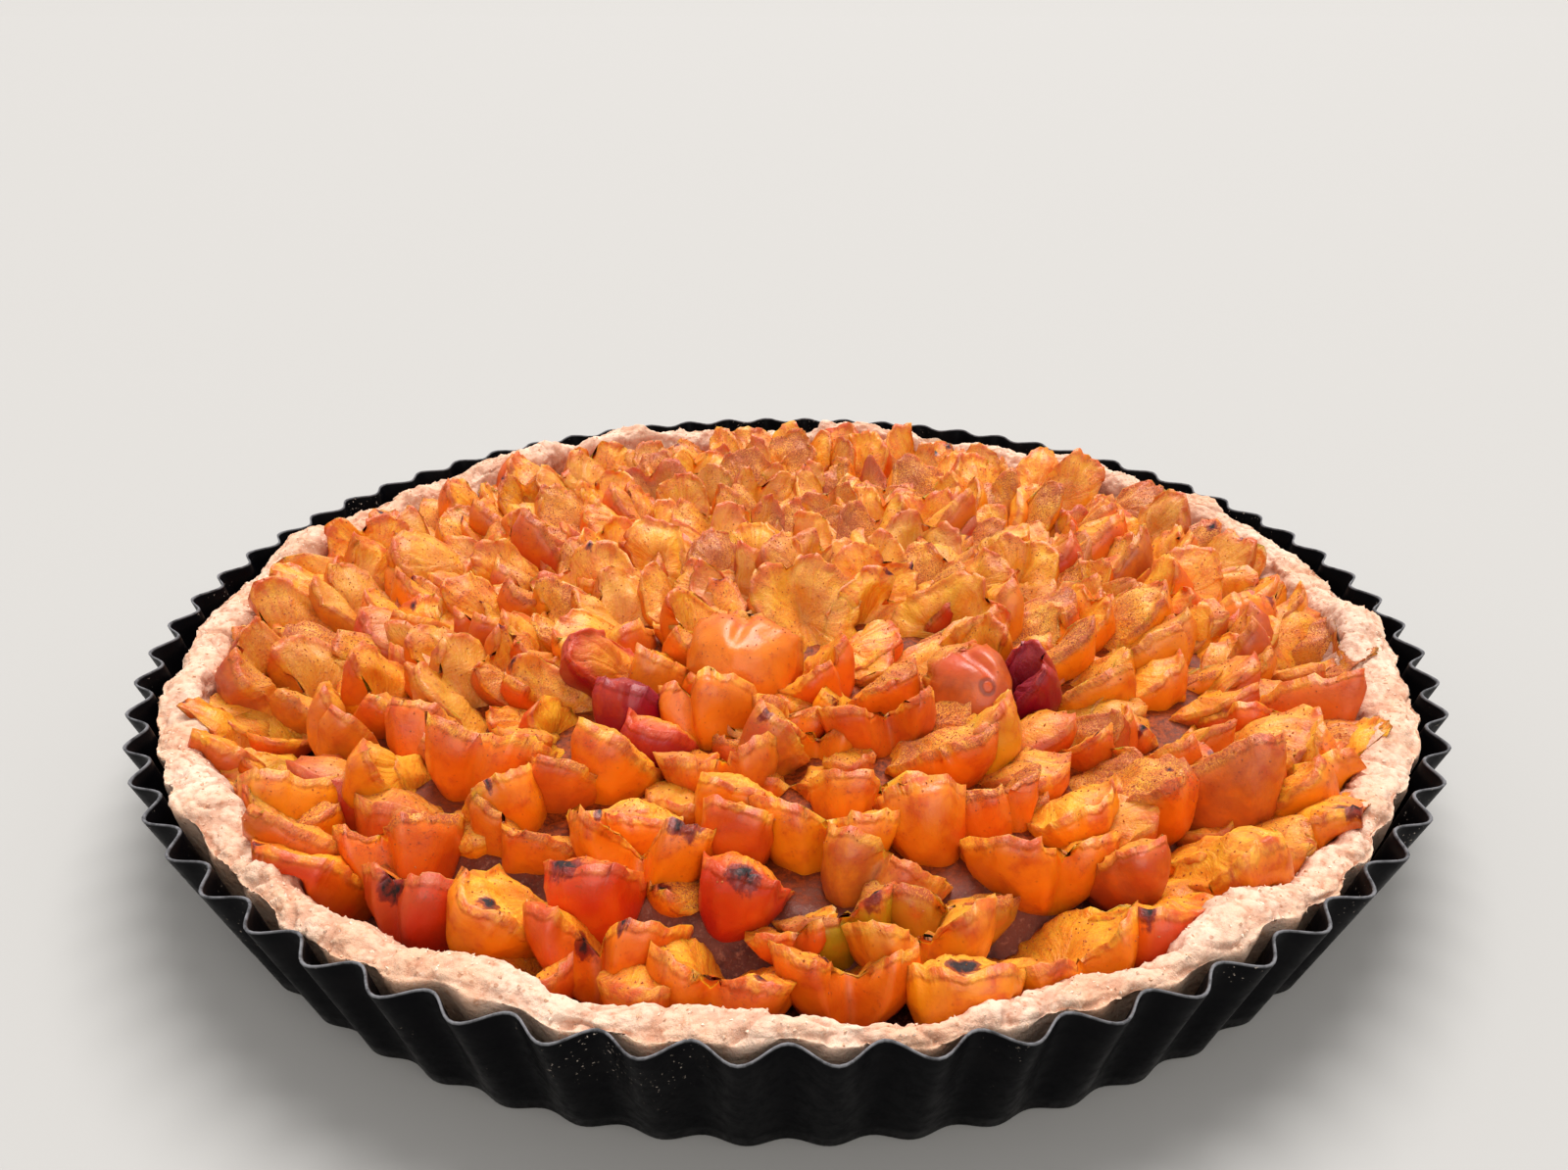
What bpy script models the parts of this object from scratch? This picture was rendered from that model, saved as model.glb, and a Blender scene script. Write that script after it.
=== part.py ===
"""A plum tart in its own fluted tin, in metres with +Z up.

The tin stands on z = 0 and its axis is the Z axis. The person who looks at the tart stands at -Y.
Three solids nest in each other: the tin, the pastry case, and the bed of split plums in their juice.
"""

import math
import random
from collections import namedtuple

import bmesh
import bpy
from mathutils import Matrix, Vector

MM = 0.001

# The tin: dark coated sheet steel, pressed into flutes that flare towards the edge.
TIN_EDGE_RADIUS = 150 * MM
TIN_BASE_RADIUS = 140 * MM
TIN_HEIGHT = 28 * MM
TIN_WALL = 0.8 * MM
FLUTES = 66
FLUTE_DEPTH_AT_EDGE = 4.3 * MM
FLUTE_DEPTH_AT_BASE = 1.6 * MM
STEPS_PER_FLUTE = 4

# The pastry case: a flat base with a lumpy rim pressed up against the tin by hand.
CLEARANCE = 0.4 * MM
PASTRY_BASE = 4.5 * MM
PASTRY_RIM_WIDTH = 7.0 * MM
WIDER_AT_SIDES = 2.5 * MM
PASTRY_RIM_TOP = TIN_HEIGHT - 0.5 * MM
PASTRY_SHRINK = 1.2 * MM
LEAST_SHRINK = 0.6 * MM
HEEL_INSET = 0.9 * MM
PASTRY_CRAG = 0.5 * MM
PASTRY_COLUMNS = 2 * FLUTES
SHOULDER_DROP = 3.0 * MM
SLOPE_HEIGHT = TIN_HEIGHT * 0.42
BACK_DROP = 4.5 * MM
BACK_FLUTING = 0.5
BROW_DROP = 1.2 * MM
BROW_INSET = 0.4 * MM

# Waves round the pastry rim: a count of waves with a height for each.
TOP_WAVES = ((3, 0.5 * MM), (8, 0.8 * MM), (13, 0.9 * MM), (21, 0.8 * MM), (34, 0.5 * MM))
SHRINK_WAVES = ((2, 0.5 * MM), (5, 0.5 * MM), (11, 0.5 * MM), (19, 0.4 * MM))
WIDTH_WAVES = ((4, 0.6 * MM), (9, 0.7 * MM), (17, 0.7 * MM), (29, 0.5 * MM))

# The plums: small yellow plums, split, stoned, and most of them notched at the tip. They stand in rows from
# the rim inwards, stem end down, with the tip leaning outwards and the cut face towards the middle.
PLUM_LENGTH = 27.5 * MM
PLUM_WIDTH = 23.5 * MM
PLUM_DEPTH = 10.8 * MM
ROW_PITCH = 13.5 * MM
OUTER_ROW_RADIUS = 114 * MM
PLUM_PITCH = 21 * MM
HEART_PLACE = (7 * MM, -12 * MM)
LAYOUT_SEED = 11

# How much the plums differ, as the least and the most of each.
HALVED_SHARE = 0.66
QUARTER_WIDTHS = (0.62, 0.8)
PLUM_SIZES = (0.86, 1.14)
PLUM_LENGTHS = (0.95, 1.08)
PLUM_DEPTHS = (0.85, 1.2)
NOTCHES = (0.08, 0.42)
FOLDS = (0.0, 0.22)
CURLS = (-0.1, 0.25)
FOOT_HEIGHTS = (-0.5 * MM, 1.5 * MM)
TIP_HEIGHTS = (26.5 * MM, 34 * MM)
STEEPEST = 0.86
HEART_RISE = 5 * MM
HEART_PLUMS = 7
HEART_REACH = (4 * MM, 15 * MM)
HEART_TILT = (20, 50)
HEART_HEADINGS = (-20, 200)
HEART_ROOM = 9 * MM
ROW_STRAY = 2.2 * MM
PITCH_STRAY = 0.16
HEADING_SPREAD = math.radians(18)
HEART_HEADING_SPREAD = math.radians(45)
ROLL_SPREAD = math.radians(21)
GAP_ROOM = 12.5 * MM
GAP_STEP = 6 * MM

# A plum's rim is drawn with an angle that is 0 at the tip and half a turn at the stem end. Below it the skin
# runs down to a keel of two points, each a share of the length with a share of the depth.
HALF_ANGLES = (0.0, 0.6, 1.5, math.pi, -1.5, -0.6)
QUARTER_ANGLES = (0.0, 0.85, 2.0, math.pi, -2.0, -0.85)
PLUM_MIDDLE = 0.42
NOTCH_SPREAD = 0.5
TIP_POWER = 0.55
STEM_POWER = 0.9
KEEL = ((0.26, 0.86), (0.66, 0.92))
HALF_HOLLOW = -0.3
QUARTER_RIDGE = 0.35
CURL_START = 0.35

# The bed that holds the plums: juice at the edge, and soft plum flesh packed higher further in.
JUICE_DEPTH = 3.5 * MM
PACKED_DEPTH = 19 * MM
PACKED_RADIUS = 110 * MM
PACKED_SLOPE = 6 * MM
BED_COLUMNS = 40

PLUM_COLOUR = (0.83, 0.26, 0.03, 1.0)
PASTRY_COLOUR = (0.80, 0.52, 0.32, 1.0)
TIN_COLOUR = (0.012, 0.012, 0.015, 1.0)

# Plums that stand out, laid by hand before the rows fill in round them: where the middle of each one stands,
# how far it is lifted, its length and width, how deep its tip is notched (a narrow piece has none), and how
# it is turned, leans and rolls. One that leans by more than a right angle lies with its skin up.
Standout = namedtuple("Standout", "name x y lift length width notch turn rise roll")
STANDOUTS = (
    Standout("skin_up", -10 * MM, -29 * MM, 2 * MM, 25 * MM, 27 * MM, 0.03, 32, 124, 0),
    Standout("scarred_skin", 40 * MM, -41 * MM, 2 * MM, 23 * MM, 20 * MM, 0.03, -28, 118, 6),
    Standout("crimson_curl", 52 * MM, -41 * MM, 3 * MM, 23 * MM, 15 * MM, 0.03, 10, 60, 25),
    Standout("left_crimson", -42 * MM, -33 * MM, 2 * MM, 27 * MM, 14 * MM, 0.0, 0, 50, -35),
    Standout("small_crimson", -34 * MM, -45 * MM, 2 * MM, 23 * MM, 13 * MM, 0.0, 0, 46, 20),
    Standout("low_crimson", -27 * MM, -56 * MM, 1 * MM, 22 * MM, 14 * MM, 0.0, 0, 42, 0),
    Standout("big_left", -48 * MM, -68 * MM, 0, 27 * MM, 25 * MM, 0.2, 0, 42, 8),
    Standout("left_boat", -49 * MM, -86 * MM, 0, 26 * MM, 26 * MM, 0.12, 0, 40, -6),
    Standout("charred_notch", -26 * MM, -94 * MM, 0, 29 * MM, 28 * MM, 0.42, 0, 46, 10),
    Standout("big_mid", 7 * MM, -88 * MM, 0, 27 * MM, 29 * MM, 0.14, 0, 44, -6),
    Standout("big_right", 47 * MM, -95 * MM, 0, 28 * MM, 29 * MM, 0.16, 0, 42, -12),
    Standout("charred_red", -8 * MM, -103 * MM, 0, 26 * MM, 16 * MM, 0.0, 0, 46, -12),
    Standout("green", 9 * MM, -106 * MM, 0, 25 * MM, 23 * MM, 0.08, 12, 32, 16),
    Standout("olive", 28 * MM, -105 * MM, 0, 25 * MM, 25 * MM, 0.2, -8, 34, -10),
    Standout("red_charred", -34 * MM, -104 * MM, 0, 26 * MM, 16 * MM, 0.0, 0, 50, 15),
    Standout("dark_scarred", -64 * MM, -104 * MM, 0, 26 * MM, 22 * MM, 0.06, 0, 44, 12),
    Standout("left_scarred", -49 * MM, -110 * MM, 0, 28 * MM, 17 * MM, 0.0, 0, 44, -20),
    Standout("pink_notched", -31 * MM, -116 * MM, 0, 28 * MM, 26 * MM, 0.42, 0, 44, 6),
    Standout("notched", 10 * MM, -122 * MM, 0, 27 * MM, 25 * MM, 0.36, 0, 42, 0),
    Standout("boat", -11 * MM, -123 * MM, 0, 27 * MM, 27 * MM, 0.1, 0, 36, -10),
    Standout("right_notched", 46 * MM, -119 * MM, 0, 27 * MM, 26 * MM, 0.28, 0, 38, 12),
    Standout("right_red", 62 * MM, -112 * MM, 0, 26 * MM, 18 * MM, 0.0, 0, 44, -10),
    Standout("left_red", -86 * MM, -98 * MM, 0, 28 * MM, 18 * MM, 0.0, 0, 44, 15),
    Standout("tip_scarred", 28 * MM, -127 * MM, 0, 25 * MM, 18 * MM, 0.0, 0, 50, -8),
    Standout("dark_tipped", 100 * MM, -85 * MM, 0, 27 * MM, 18 * MM, 0.0, 0, 42, -18),
)
STANDOUT_MIDDLE = 0.6
STANDOUT_ROOM = 12 * MM
STANDOUT_FOLD = 0.2
STANDOUT_CURL = 0.1

Plum = namedtuple("Plum", "name place heading rise roll length width depth notch fold curl")


def clear_scene():
    for thing in list(bpy.data.objects):
        bpy.data.objects.remove(thing)


def finish_of(name, colour, roughness, metallic=0.0):
    finish = bpy.data.materials.new(name)
    finish.use_nodes = True
    shader = finish.node_tree.nodes["Principled BSDF"]
    shader.inputs["Base Color"].default_value = colour
    shader.inputs["Roughness"].default_value = roughness
    shader.inputs["Metallic"].default_value = metallic
    return finish


def object_from(name, points, faces, finish=None):
    mesh = bpy.data.meshes.new(name)
    mesh.from_pydata(points, [], faces)
    mesh.update()
    thing = bpy.data.objects.new(name, mesh)
    bpy.context.scene.collection.objects.link(thing)
    if finish:
        mesh.materials.append(finish)
    return thing


def turned_shell(rings, columns):
    """Points and faces of a closed skin, from rings that run from the bottom, out and up, and back inwards.

    Each ring is a function of an angle that gives a radius and a height. The first and the last ring close
    on a point on the axis.
    """
    angles = [2 * math.pi * i / columns for i in range(columns)]
    points = [Vector((0, 0, rings[0](0)[1]))]
    for ring in rings:
        for angle in angles:
            radius, height = ring(angle)
            points.append(Vector((radius * math.cos(angle), radius * math.sin(angle), height)))
    points.append(Vector((0, 0, rings[-1](0)[1])))
    faces = []
    top = len(points) - 1
    last = 1 + (len(rings) - 1) * columns
    for i in range(columns):
        j = (i + 1) % columns
        faces.append((0, 1 + j, 1 + i))
        for k in range(len(rings) - 1):
            low, high = 1 + k * columns, 1 + (k + 1) * columns
            faces.append((low + i, low + j, high + j, high + i))
        faces.append((last + i, last + j, top))
    return points, faces


def tin_radius(angle, height):
    """Outer radius of the fluted wall, which flares out from the base to the edge."""
    share = min(max(height / TIN_HEIGHT, 0.0), 1.0)
    depth = FLUTE_DEPTH_AT_BASE + (FLUTE_DEPTH_AT_EDGE - FLUTE_DEPTH_AT_BASE) * share
    outermost = TIN_BASE_RADIUS + (TIN_EDGE_RADIUS - TIN_BASE_RADIUS) * share
    return outermost - depth / 2 * (1 - math.cos(FLUTES * angle))


def tin_room(height):
    """Radius of the plain round room inside the flutes at a height."""
    innermost = tin_radius(math.pi / FLUTES, height)
    return innermost - TIN_WALL


def build_tin(finish):
    rings = [
        lambda a: (tin_radius(a, 0), 0),
        lambda a: (tin_radius(a, TIN_HEIGHT), TIN_HEIGHT),
        lambda a: (tin_radius(a, TIN_HEIGHT) - TIN_WALL, TIN_HEIGHT),
        lambda a: (tin_radius(a, TIN_WALL) - TIN_WALL, TIN_WALL),
    ]
    points, faces = turned_shell(rings, FLUTES * STEPS_PER_FLUTE)
    return object_from("tin", points, faces, finish)


def waves(angle, strengths, seed):
    """A closed uneven line round the tart: a sum of sines."""
    draw = random.Random(seed)
    return sum(height * math.sin(count * angle + draw.uniform(0, 2 * math.pi)) for count, height in strengths)


def crag(angle, seed):
    """A small sharp step of the torn dough, different at each column of the rim."""
    column = round(angle / (2 * math.pi) * PASTRY_COLUMNS) % PASTRY_COLUMNS
    return random.Random(seed * 1000 + column).uniform(-PASTRY_CRAG, PASTRY_CRAG)


def rim_top(angle):
    """Height of the pastry rim, pinched higher and lower by hand."""
    return PASTRY_RIM_TOP + waves(angle, TOP_WAVES, 3) + crag(angle, 1)


def rim_shrink(angle):
    """How far the rim has drawn away from the tin."""
    return max(LEAST_SHRINK, PASTRY_SHRINK + waves(angle, SHRINK_WAVES, 4))


def rim_width(angle):
    at_sides = WIDER_AT_SIDES * math.cos(angle) ** 2
    return PASTRY_RIM_WIDTH + at_sides + waves(angle, WIDTH_WAVES, 5) + crag(angle, 2)


def pastry_floor():
    return TIN_WALL + CLEARANCE + PASTRY_BASE


def inner_rings(gap):
    """The inside of the pastry rim from its crest down to the floor, moved inwards by gap."""

    def crest(angle):
        radius = tin_room(TIN_HEIGHT) - rim_shrink(angle) - rim_width(angle) / 2
        return radius - gap, rim_top(angle)

    def shoulder(angle):
        radius = tin_room(TIN_HEIGHT) - rim_shrink(angle) - rim_width(angle)
        return radius - gap, rim_top(angle) - SHOULDER_DROP

    def slope(angle):
        radius = tin_room(SLOPE_HEIGHT) - rim_shrink(angle) / 2 - rim_width(angle)
        return radius - gap, SLOPE_HEIGHT

    def foot(angle):
        radius = tin_room(pastry_floor()) - rim_width(angle) * 4 / 3
        return radius - gap, pastry_floor() + gap

    return [crest, shoulder, slope, foot]


def pressed_radius(angle, height, gap):
    """The outside of the pastry, which was pressed into the flutes and has drawn back by gap."""
    return tin_radius(angle, height) - TIN_WALL - CLEARANCE - gap


def build_pastry(finish):
    below = TIN_WALL + CLEARANCE

    def under(angle):
        return pressed_radius(angle, below, HEEL_INSET), below

    def back(angle):
        height = rim_top(angle) - BACK_DROP
        fluted = pressed_radius(angle, height, rim_shrink(angle))
        plain = tin_room(height) - rim_shrink(angle)
        return plain + (fluted - plain) * BACK_FLUTING, height

    def brow(angle):
        return tin_room(TIN_HEIGHT) - rim_shrink(angle) - BROW_INSET, rim_top(angle) - BROW_DROP

    points, faces = turned_shell([under, back, brow] + inner_rings(0.0), PASTRY_COLUMNS)
    return object_from("pastry", points, faces, finish)


def off_centre(radius):
    """How far a place is from the outer row, 0, to the heart, 1."""
    return max(0.0, 1 - radius / OUTER_ROW_RADIUS)


def lay_standout(standout):
    """A plum laid by hand. Unless it is turned, it leans away from the heart like the others."""
    outward = math.atan2(standout.y - HEART_PLACE[1], standout.x - HEART_PLACE[0])
    heading = outward + math.radians(standout.turn)
    rise = math.radians(standout.rise)
    back = STANDOUT_MIDDLE * standout.length * math.cos(rise)
    x = standout.x - back * math.cos(heading)
    y = standout.y - back * math.sin(heading)
    radius = math.hypot(x - HEART_PLACE[0], y - HEART_PLACE[1])
    return Plum(
        name=standout.name,
        place=Vector((x, y, pastry_floor() + JUICE_DEPTH + HEART_RISE * off_centre(radius) + standout.lift)),
        heading=heading,
        rise=rise,
        roll=math.radians(standout.roll),
        length=standout.length,
        width=standout.width,
        depth=PLUM_DEPTH,
        notch=standout.notch,
        fold=STANDOUT_FOLD,
        curl=STANDOUT_CURL,
    )


def lay_plum(draw, angle, radius):
    """A plum with its foot at a radius and an angle round the middle, which moves to the heart further in.

    It leans as far as brings its tip to a height that is drawn for it.
    """
    centring = off_centre(radius)
    place = Vector((
        HEART_PLACE[0] * centring + radius * math.cos(angle),
        HEART_PLACE[1] * centring + radius * math.sin(angle),
        pastry_floor() + JUICE_DEPTH + HEART_RISE * centring + draw.uniform(*FOOT_HEIGHTS),
    ))
    halved = draw.random() < HALVED_SHARE
    size = draw.uniform(*PLUM_SIZES)
    length = PLUM_LENGTH * size * draw.uniform(*PLUM_LENGTHS)
    straying = HEADING_SPREAD + (HEART_HEADING_SPREAD - HEADING_SPREAD) * centring ** 2
    return Plum(
        name="",
        place=place,
        heading=angle + draw.gauss(0, straying),
        rise=math.asin(min(STEEPEST, (draw.uniform(*TIP_HEIGHTS) - place.z) / length)),
        roll=draw.gauss(0, ROLL_SPREAD),
        length=length,
        width=PLUM_WIDTH * size * (1.0 if halved else draw.uniform(*QUARTER_WIDTHS)),
        depth=PLUM_DEPTH * size * draw.uniform(*PLUM_DEPTHS),
        notch=draw.uniform(*NOTCHES) if halved else 0.0,
        fold=draw.uniform(*FOLDS),
        curl=draw.uniform(*CURLS),
    )


def middle_of(plum):
    outward = Vector((math.cos(plum.heading), math.sin(plum.heading), 0))
    along = outward * math.cos(plum.rise) + Vector((0, 0, 1)) * math.sin(plum.rise)
    return plum.place + along * plum.length / 2


def has_room(plum, others, room):
    middle = middle_of(plum)
    return all((middle - middle_of(other)).length > room for other in others)


def lay_plums():
    """Every plum: those laid by hand, rows from the rim inwards, some in the gaps left, and a loose heart."""
    draw = random.Random(LAYOUT_SEED)
    standouts = [lay_standout(standout) for standout in STANDOUTS]
    plums = list(standouts)
    radius = OUTER_ROW_RADIUS
    while radius > 0:
        count = max(1, round(2 * math.pi * radius / PLUM_PITCH))
        start = draw.uniform(0, 2 * math.pi)
        for i in range(count):
            angle = start + 2 * math.pi * (i + draw.uniform(-PITCH_STRAY, PITCH_STRAY)) / count
            plum = lay_plum(draw, angle, radius + draw.uniform(-ROW_STRAY, ROW_STRAY))
            if has_room(plum, standouts, STANDOUT_ROOM):
                plums.append(plum)
        radius -= ROW_PITCH
    for i in range(HEART_PLUMS):
        angle = 2 * math.pi * i / HEART_PLUMS
        loose = lay_plum(draw, angle, draw.uniform(*HEART_REACH))._replace(
            heading=math.radians(draw.uniform(*HEART_HEADINGS)), rise=math.radians(draw.uniform(*HEART_TILT)))
        if has_room(loose, plums, HEART_ROOM):
            plums.append(loose)
    radius = OUTER_ROW_RADIUS
    while radius > 0:
        count = round(2 * math.pi * radius / GAP_STEP)
        for i in range(count):
            plum = lay_plum(draw, 2 * math.pi * i / count, radius)
            if has_room(plum, plums, GAP_ROOM):
                plums.append(plum)
        radius -= GAP_STEP
    return plums


def frame_of(plum):
    """Turns a plum's own axes, across, along and out of its flesh, into the tart's."""
    outward = Vector((math.cos(plum.heading), math.sin(plum.heading), 0))
    up = Vector((0, 0, 1))
    along = outward * math.cos(plum.rise) + up * math.sin(plum.rise)
    flesh = up * math.cos(plum.rise) - outward * math.sin(plum.rise)
    across = along.cross(flesh)
    axes = Matrix((across, along, flesh)).transposed().to_4x4()
    return Matrix.Translation(plum.place) @ axes @ Matrix.Rotation(plum.roll, 4, "Y")


def plum_outline(plum, theta):
    """The rim of the cut face, as a share of half the width and of the length."""
    sine, cosine = math.sin(theta), math.cos(theta)
    across = math.copysign(abs(sine) ** 0.85, sine)
    along = 0.5 + 0.5 * math.copysign(abs(cosine) ** (TIP_POWER if cosine > 0 else STEM_POWER), cosine)
    if cosine > 0:
        along -= plum.notch * max(0.0, 1 - abs(across) / NOTCH_SPREAD)
    return across, along


def bent(plum, across, along, out):
    """A point of the plum in metres: its sides fold up round the cut face, and its tip curls."""
    from_start = along - CURL_START
    fold = plum.fold * abs(across) ** 1.2 * plum.width / 2
    curl = plum.curl * math.copysign(from_start ** 2, from_start) * plum.length / 2
    return Vector((across * plum.width / 2, along * plum.length, out + fold + curl))


def build_plum(plum, name):
    """One piece of plum with few faces: a fan for the cut face, and a skin drawn down to a keel."""
    angles = HALF_ANGLES if plum.notch else QUARTER_ANGLES
    count = len(angles)
    points = []
    for theta in angles:
        across, along = plum_outline(plum, theta)
        points.append(bent(plum, across, along, 0.0))
    hollow = HALF_HOLLOW if plum.notch else QUARTER_RIDGE
    cut_middle, low_keel, high_keel = count, count + 1, count + 2
    points.append(bent(plum, 0.0, PLUM_MIDDLE, hollow * plum.depth))
    for along, sink in KEEL:
        points.append(bent(plum, 0.0, along, -sink * plum.depth))
    side = count // 2 - 2
    faces = []
    for i in range(count):
        low = side <= i < count - side
        faces.append((i, cut_middle, (i + 1) % count))
        faces.append((i, (i + 1) % count, low_keel if low else high_keel))
    faces.append((side, low_keel, high_keel))
    faces.append((count - side, high_keel, low_keel))
    place = frame_of(plum)
    return object_from(name, [place @ p for p in points], faces)


def build_core(finish):
    """What lies round the feet of the plums. It runs into the pastry all round, and is trimmed later."""
    juice = pastry_floor() + JUICE_DEPTH
    packed = pastry_floor() + PACKED_DEPTH
    wide = tin_room(TIN_HEIGHT / 2)
    rings = [
        lambda a: (wide, pastry_floor()),
        lambda a: (wide, juice),
        lambda a: (PACKED_RADIUS + PACKED_SLOPE, juice),
        lambda a: (PACKED_RADIUS, packed),
    ]
    return object_from("plums", *turned_shell(rings, BED_COLUMNS), finish)


def build_room():
    """The space inside the pastry rim and above it, which trims the plums clear of the pastry."""
    crest, shoulder, slope, foot = inner_rings(CLEARANCE)

    def above_crest(angle):
        radius, height = crest(angle)
        return radius, height + CLEARANCE

    def over_rim(angle):
        return tin_room(TIN_HEIGHT), rim_top(angle) + 2 * MM

    def ceiling(angle):
        return tin_room(TIN_HEIGHT), 2 * TIN_HEIGHT

    rings = [foot, slope, shoulder, above_crest, over_rim, ceiling]
    room = object_from("room", *turned_shell(rings, PASTRY_COLUMNS))
    room.hide_render = True
    room.display_type = "WIRE"
    return room


def build_plum_bed(finish):
    """The bed and all the plums, joined into one solid, and trimmed to the room inside the pastry."""
    bed = build_core(finish)
    pieces = bpy.data.collections.new("plum_pieces")
    bpy.context.scene.collection.children.link(pieces)
    for i, plum in enumerate(lay_plums()):
        piece = build_plum(plum, plum.name or f"plum_{i}")
        bpy.context.scene.collection.objects.unlink(piece)
        pieces.objects.link(piece)
    join = bed.modifiers.new("join", "BOOLEAN")
    join.operation = "UNION"
    join.operand_type = "COLLECTION"
    join.collection = pieces
    join.solver = "EXACT"
    apply_modifiers(bed)
    for piece in list(pieces.objects):
        bpy.data.objects.remove(piece)
    bpy.data.collections.remove(pieces)

    room = build_room()
    trim = bed.modifiers.new("trim", "BOOLEAN")
    trim.operation = "INTERSECT"
    trim.object = room
    trim.solver = "EXACT"
    apply_modifiers(bed)
    bpy.data.objects.remove(room)
    keep_outer_skin(bed)
    return bed


def apply_modifiers(thing):
    bpy.context.view_layer.update()
    evaluated = thing.evaluated_get(bpy.context.evaluated_depsgraph_get())
    mesh = bpy.data.meshes.new_from_object(evaluated)
    thing.modifiers.clear()
    thing.data = mesh


def keep_outer_skin(thing):
    """Fills the hollows that joining has sealed, and drops loose scraps: only the largest skin stays."""
    shape = bmesh.new()
    shape.from_mesh(thing.data)
    seen = set()
    skins = []
    for start in shape.faces:
        if start in seen:
            continue
        seen.add(start)
        skin = [start]
        for face in skin:
            for edge in face.edges:
                for other in edge.link_faces:
                    if other not in seen:
                        seen.add(other)
                        skin.append(other)
        skins.append(skin)
    skins.sort(key=len)
    extra = [face for skin in skins[:-1] for face in skin]
    bmesh.ops.delete(shape, geom=extra, context="FACES")
    shape.to_mesh(thing.data)
    shape.free()


clear_scene()
build_tin(finish_of("coated_steel", TIN_COLOUR, 0.35, 0.6))
build_pastry(finish_of("baked_pastry", PASTRY_COLOUR, 0.85))
build_plum_bed(finish_of("baked_plum", PLUM_COLOUR, 0.35))
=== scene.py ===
"""A plum tart in its own fluted tin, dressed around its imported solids. Metres, +Z up, the viewer at -Y."""

import math
import random
from collections import namedtuple

import bpy
import numpy as np
from mathutils import Matrix, Vector, noise


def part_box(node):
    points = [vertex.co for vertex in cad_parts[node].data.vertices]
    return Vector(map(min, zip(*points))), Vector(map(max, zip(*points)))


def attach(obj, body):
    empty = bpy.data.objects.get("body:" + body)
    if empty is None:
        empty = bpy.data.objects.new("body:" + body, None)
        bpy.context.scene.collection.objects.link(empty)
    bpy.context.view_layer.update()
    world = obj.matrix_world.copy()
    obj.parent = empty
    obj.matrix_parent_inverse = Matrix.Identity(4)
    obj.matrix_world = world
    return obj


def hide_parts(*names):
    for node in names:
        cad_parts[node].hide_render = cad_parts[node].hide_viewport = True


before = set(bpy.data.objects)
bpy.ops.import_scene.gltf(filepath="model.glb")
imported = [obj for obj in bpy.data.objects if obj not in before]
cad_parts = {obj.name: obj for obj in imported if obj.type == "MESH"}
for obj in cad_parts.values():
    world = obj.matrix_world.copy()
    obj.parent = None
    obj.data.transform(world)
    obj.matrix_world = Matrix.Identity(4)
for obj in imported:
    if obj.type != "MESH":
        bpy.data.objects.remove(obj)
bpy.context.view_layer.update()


# The tin: thin sheet steel under a dark non-stick coating, pressed in one go into flutes that flare out to a
# plain trimmed edge. The coating's colour is painted darker still, as painted shade on the tin. The coating
# has worn grey along that edge, and flour and crumbs cling to the wall. One section of the sheet is turned
# round the axis, and each flute is pushed in as it goes.
MM = 0.001
TIN_EDGE_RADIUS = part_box("tin")[1][0]
TIN_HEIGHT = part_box("tin")[1][2]
TIN_BASE_RADIUS = 140 * MM
TIN_WALL = 0.8 * MM
TIN_SHEET = 0.6 * MM
BASE_ROUNDING = 3.0 * MM
FLAT_INSET = 4.0 * MM
TURN_INSET = 0.9 * MM
TURN_HEIGHT = 0.5 * MM
FLUTES = 66
FLUTE_DEPTH_AT_EDGE = 4.3 * MM
FLUTE_DEPTH_AT_BASE = 1.6 * MM
TIN_STEPS_PER_FLUTE = 14
TIN_WALL_ROWS = 9
SEAM_WIDTH = 0.01 * MM
WEAR_FROM_EDGE = (0.55 * MM, 0.05 * MM)
DUST_FROM = 6 * MM
HAZE_SHARE = 0.006


def seen(red, green, blue):
    """A colour as a screen shows it, from 0 to 255, turned into the shader's own scale."""
    shares = [value / 255 for value in (red, green, blue)]
    return tuple(s / 12.92 if s <= 0.04045 else ((s + 0.055) / 1.055) ** 2.4 for s in shares) + (1.0,)


def fill(tree, node, inputs):
    """Gives a node's inputs, by name or number, a value or another node's output."""
    for name, value in inputs.items():
        if isinstance(value, bpy.types.NodeSocket):
            tree.links.new(value, node.inputs[name])
        else:
            node.inputs[name].default_value = value


def add(tree, kind, inputs=None, **settings):
    """Adds a node to a tree, with its settings and then its inputs."""
    node = tree.nodes.new(kind)
    for name, value in settings.items():
        setattr(node, name, value)
    fill(tree, node, inputs or {})
    return node


def math_of(tree, operation, first, second=0.0):
    return add(tree, "ShaderNodeMath", {0: first, 1: second}, operation=operation).outputs[0]


def times(tree, first, second):
    return math_of(tree, "MULTIPLY", first, second)


def eased(tree, value, low, high, to_low=0.0, to_high=1.0):
    """Turns a stretch of values, from low to high, into a smooth step between two others."""
    inputs = {"Value": value, "From Min": low, "From Max": high, "To Min": to_low, "To Max": to_high}
    return add(tree, "ShaderNodeMapRange", inputs, interpolation_type="SMOOTHSTEP").outputs["Result"]


def mixed(tree, share, first, second, way="MIX"):
    inputs = {0: share, 6: first, 7: second}
    return add(tree, "ShaderNodeMix", inputs, data_type="RGBA", blend_type=way).outputs[2]


def clouds(tree, place, scale, detail=3.0, roughness=0.55):
    """Soft uneven patches from 0 to 1. scale is how many there are in a metre."""
    inputs = {"Vector": place, "Scale": scale, "Detail": detail, "Roughness": roughness}
    return add(tree, "ShaderNodeTexNoise", inputs).outputs["Fac"]


def cells(tree, place, scale, randomness=1.0):
    """The distance to the nearest of many scattered points. scale is how many there are in a metre."""
    inputs = {"Vector": place, "Scale": scale, "Randomness": randomness}
    return add(tree, "ShaderNodeTexVoronoi", inputs).outputs["Distance"]


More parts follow.
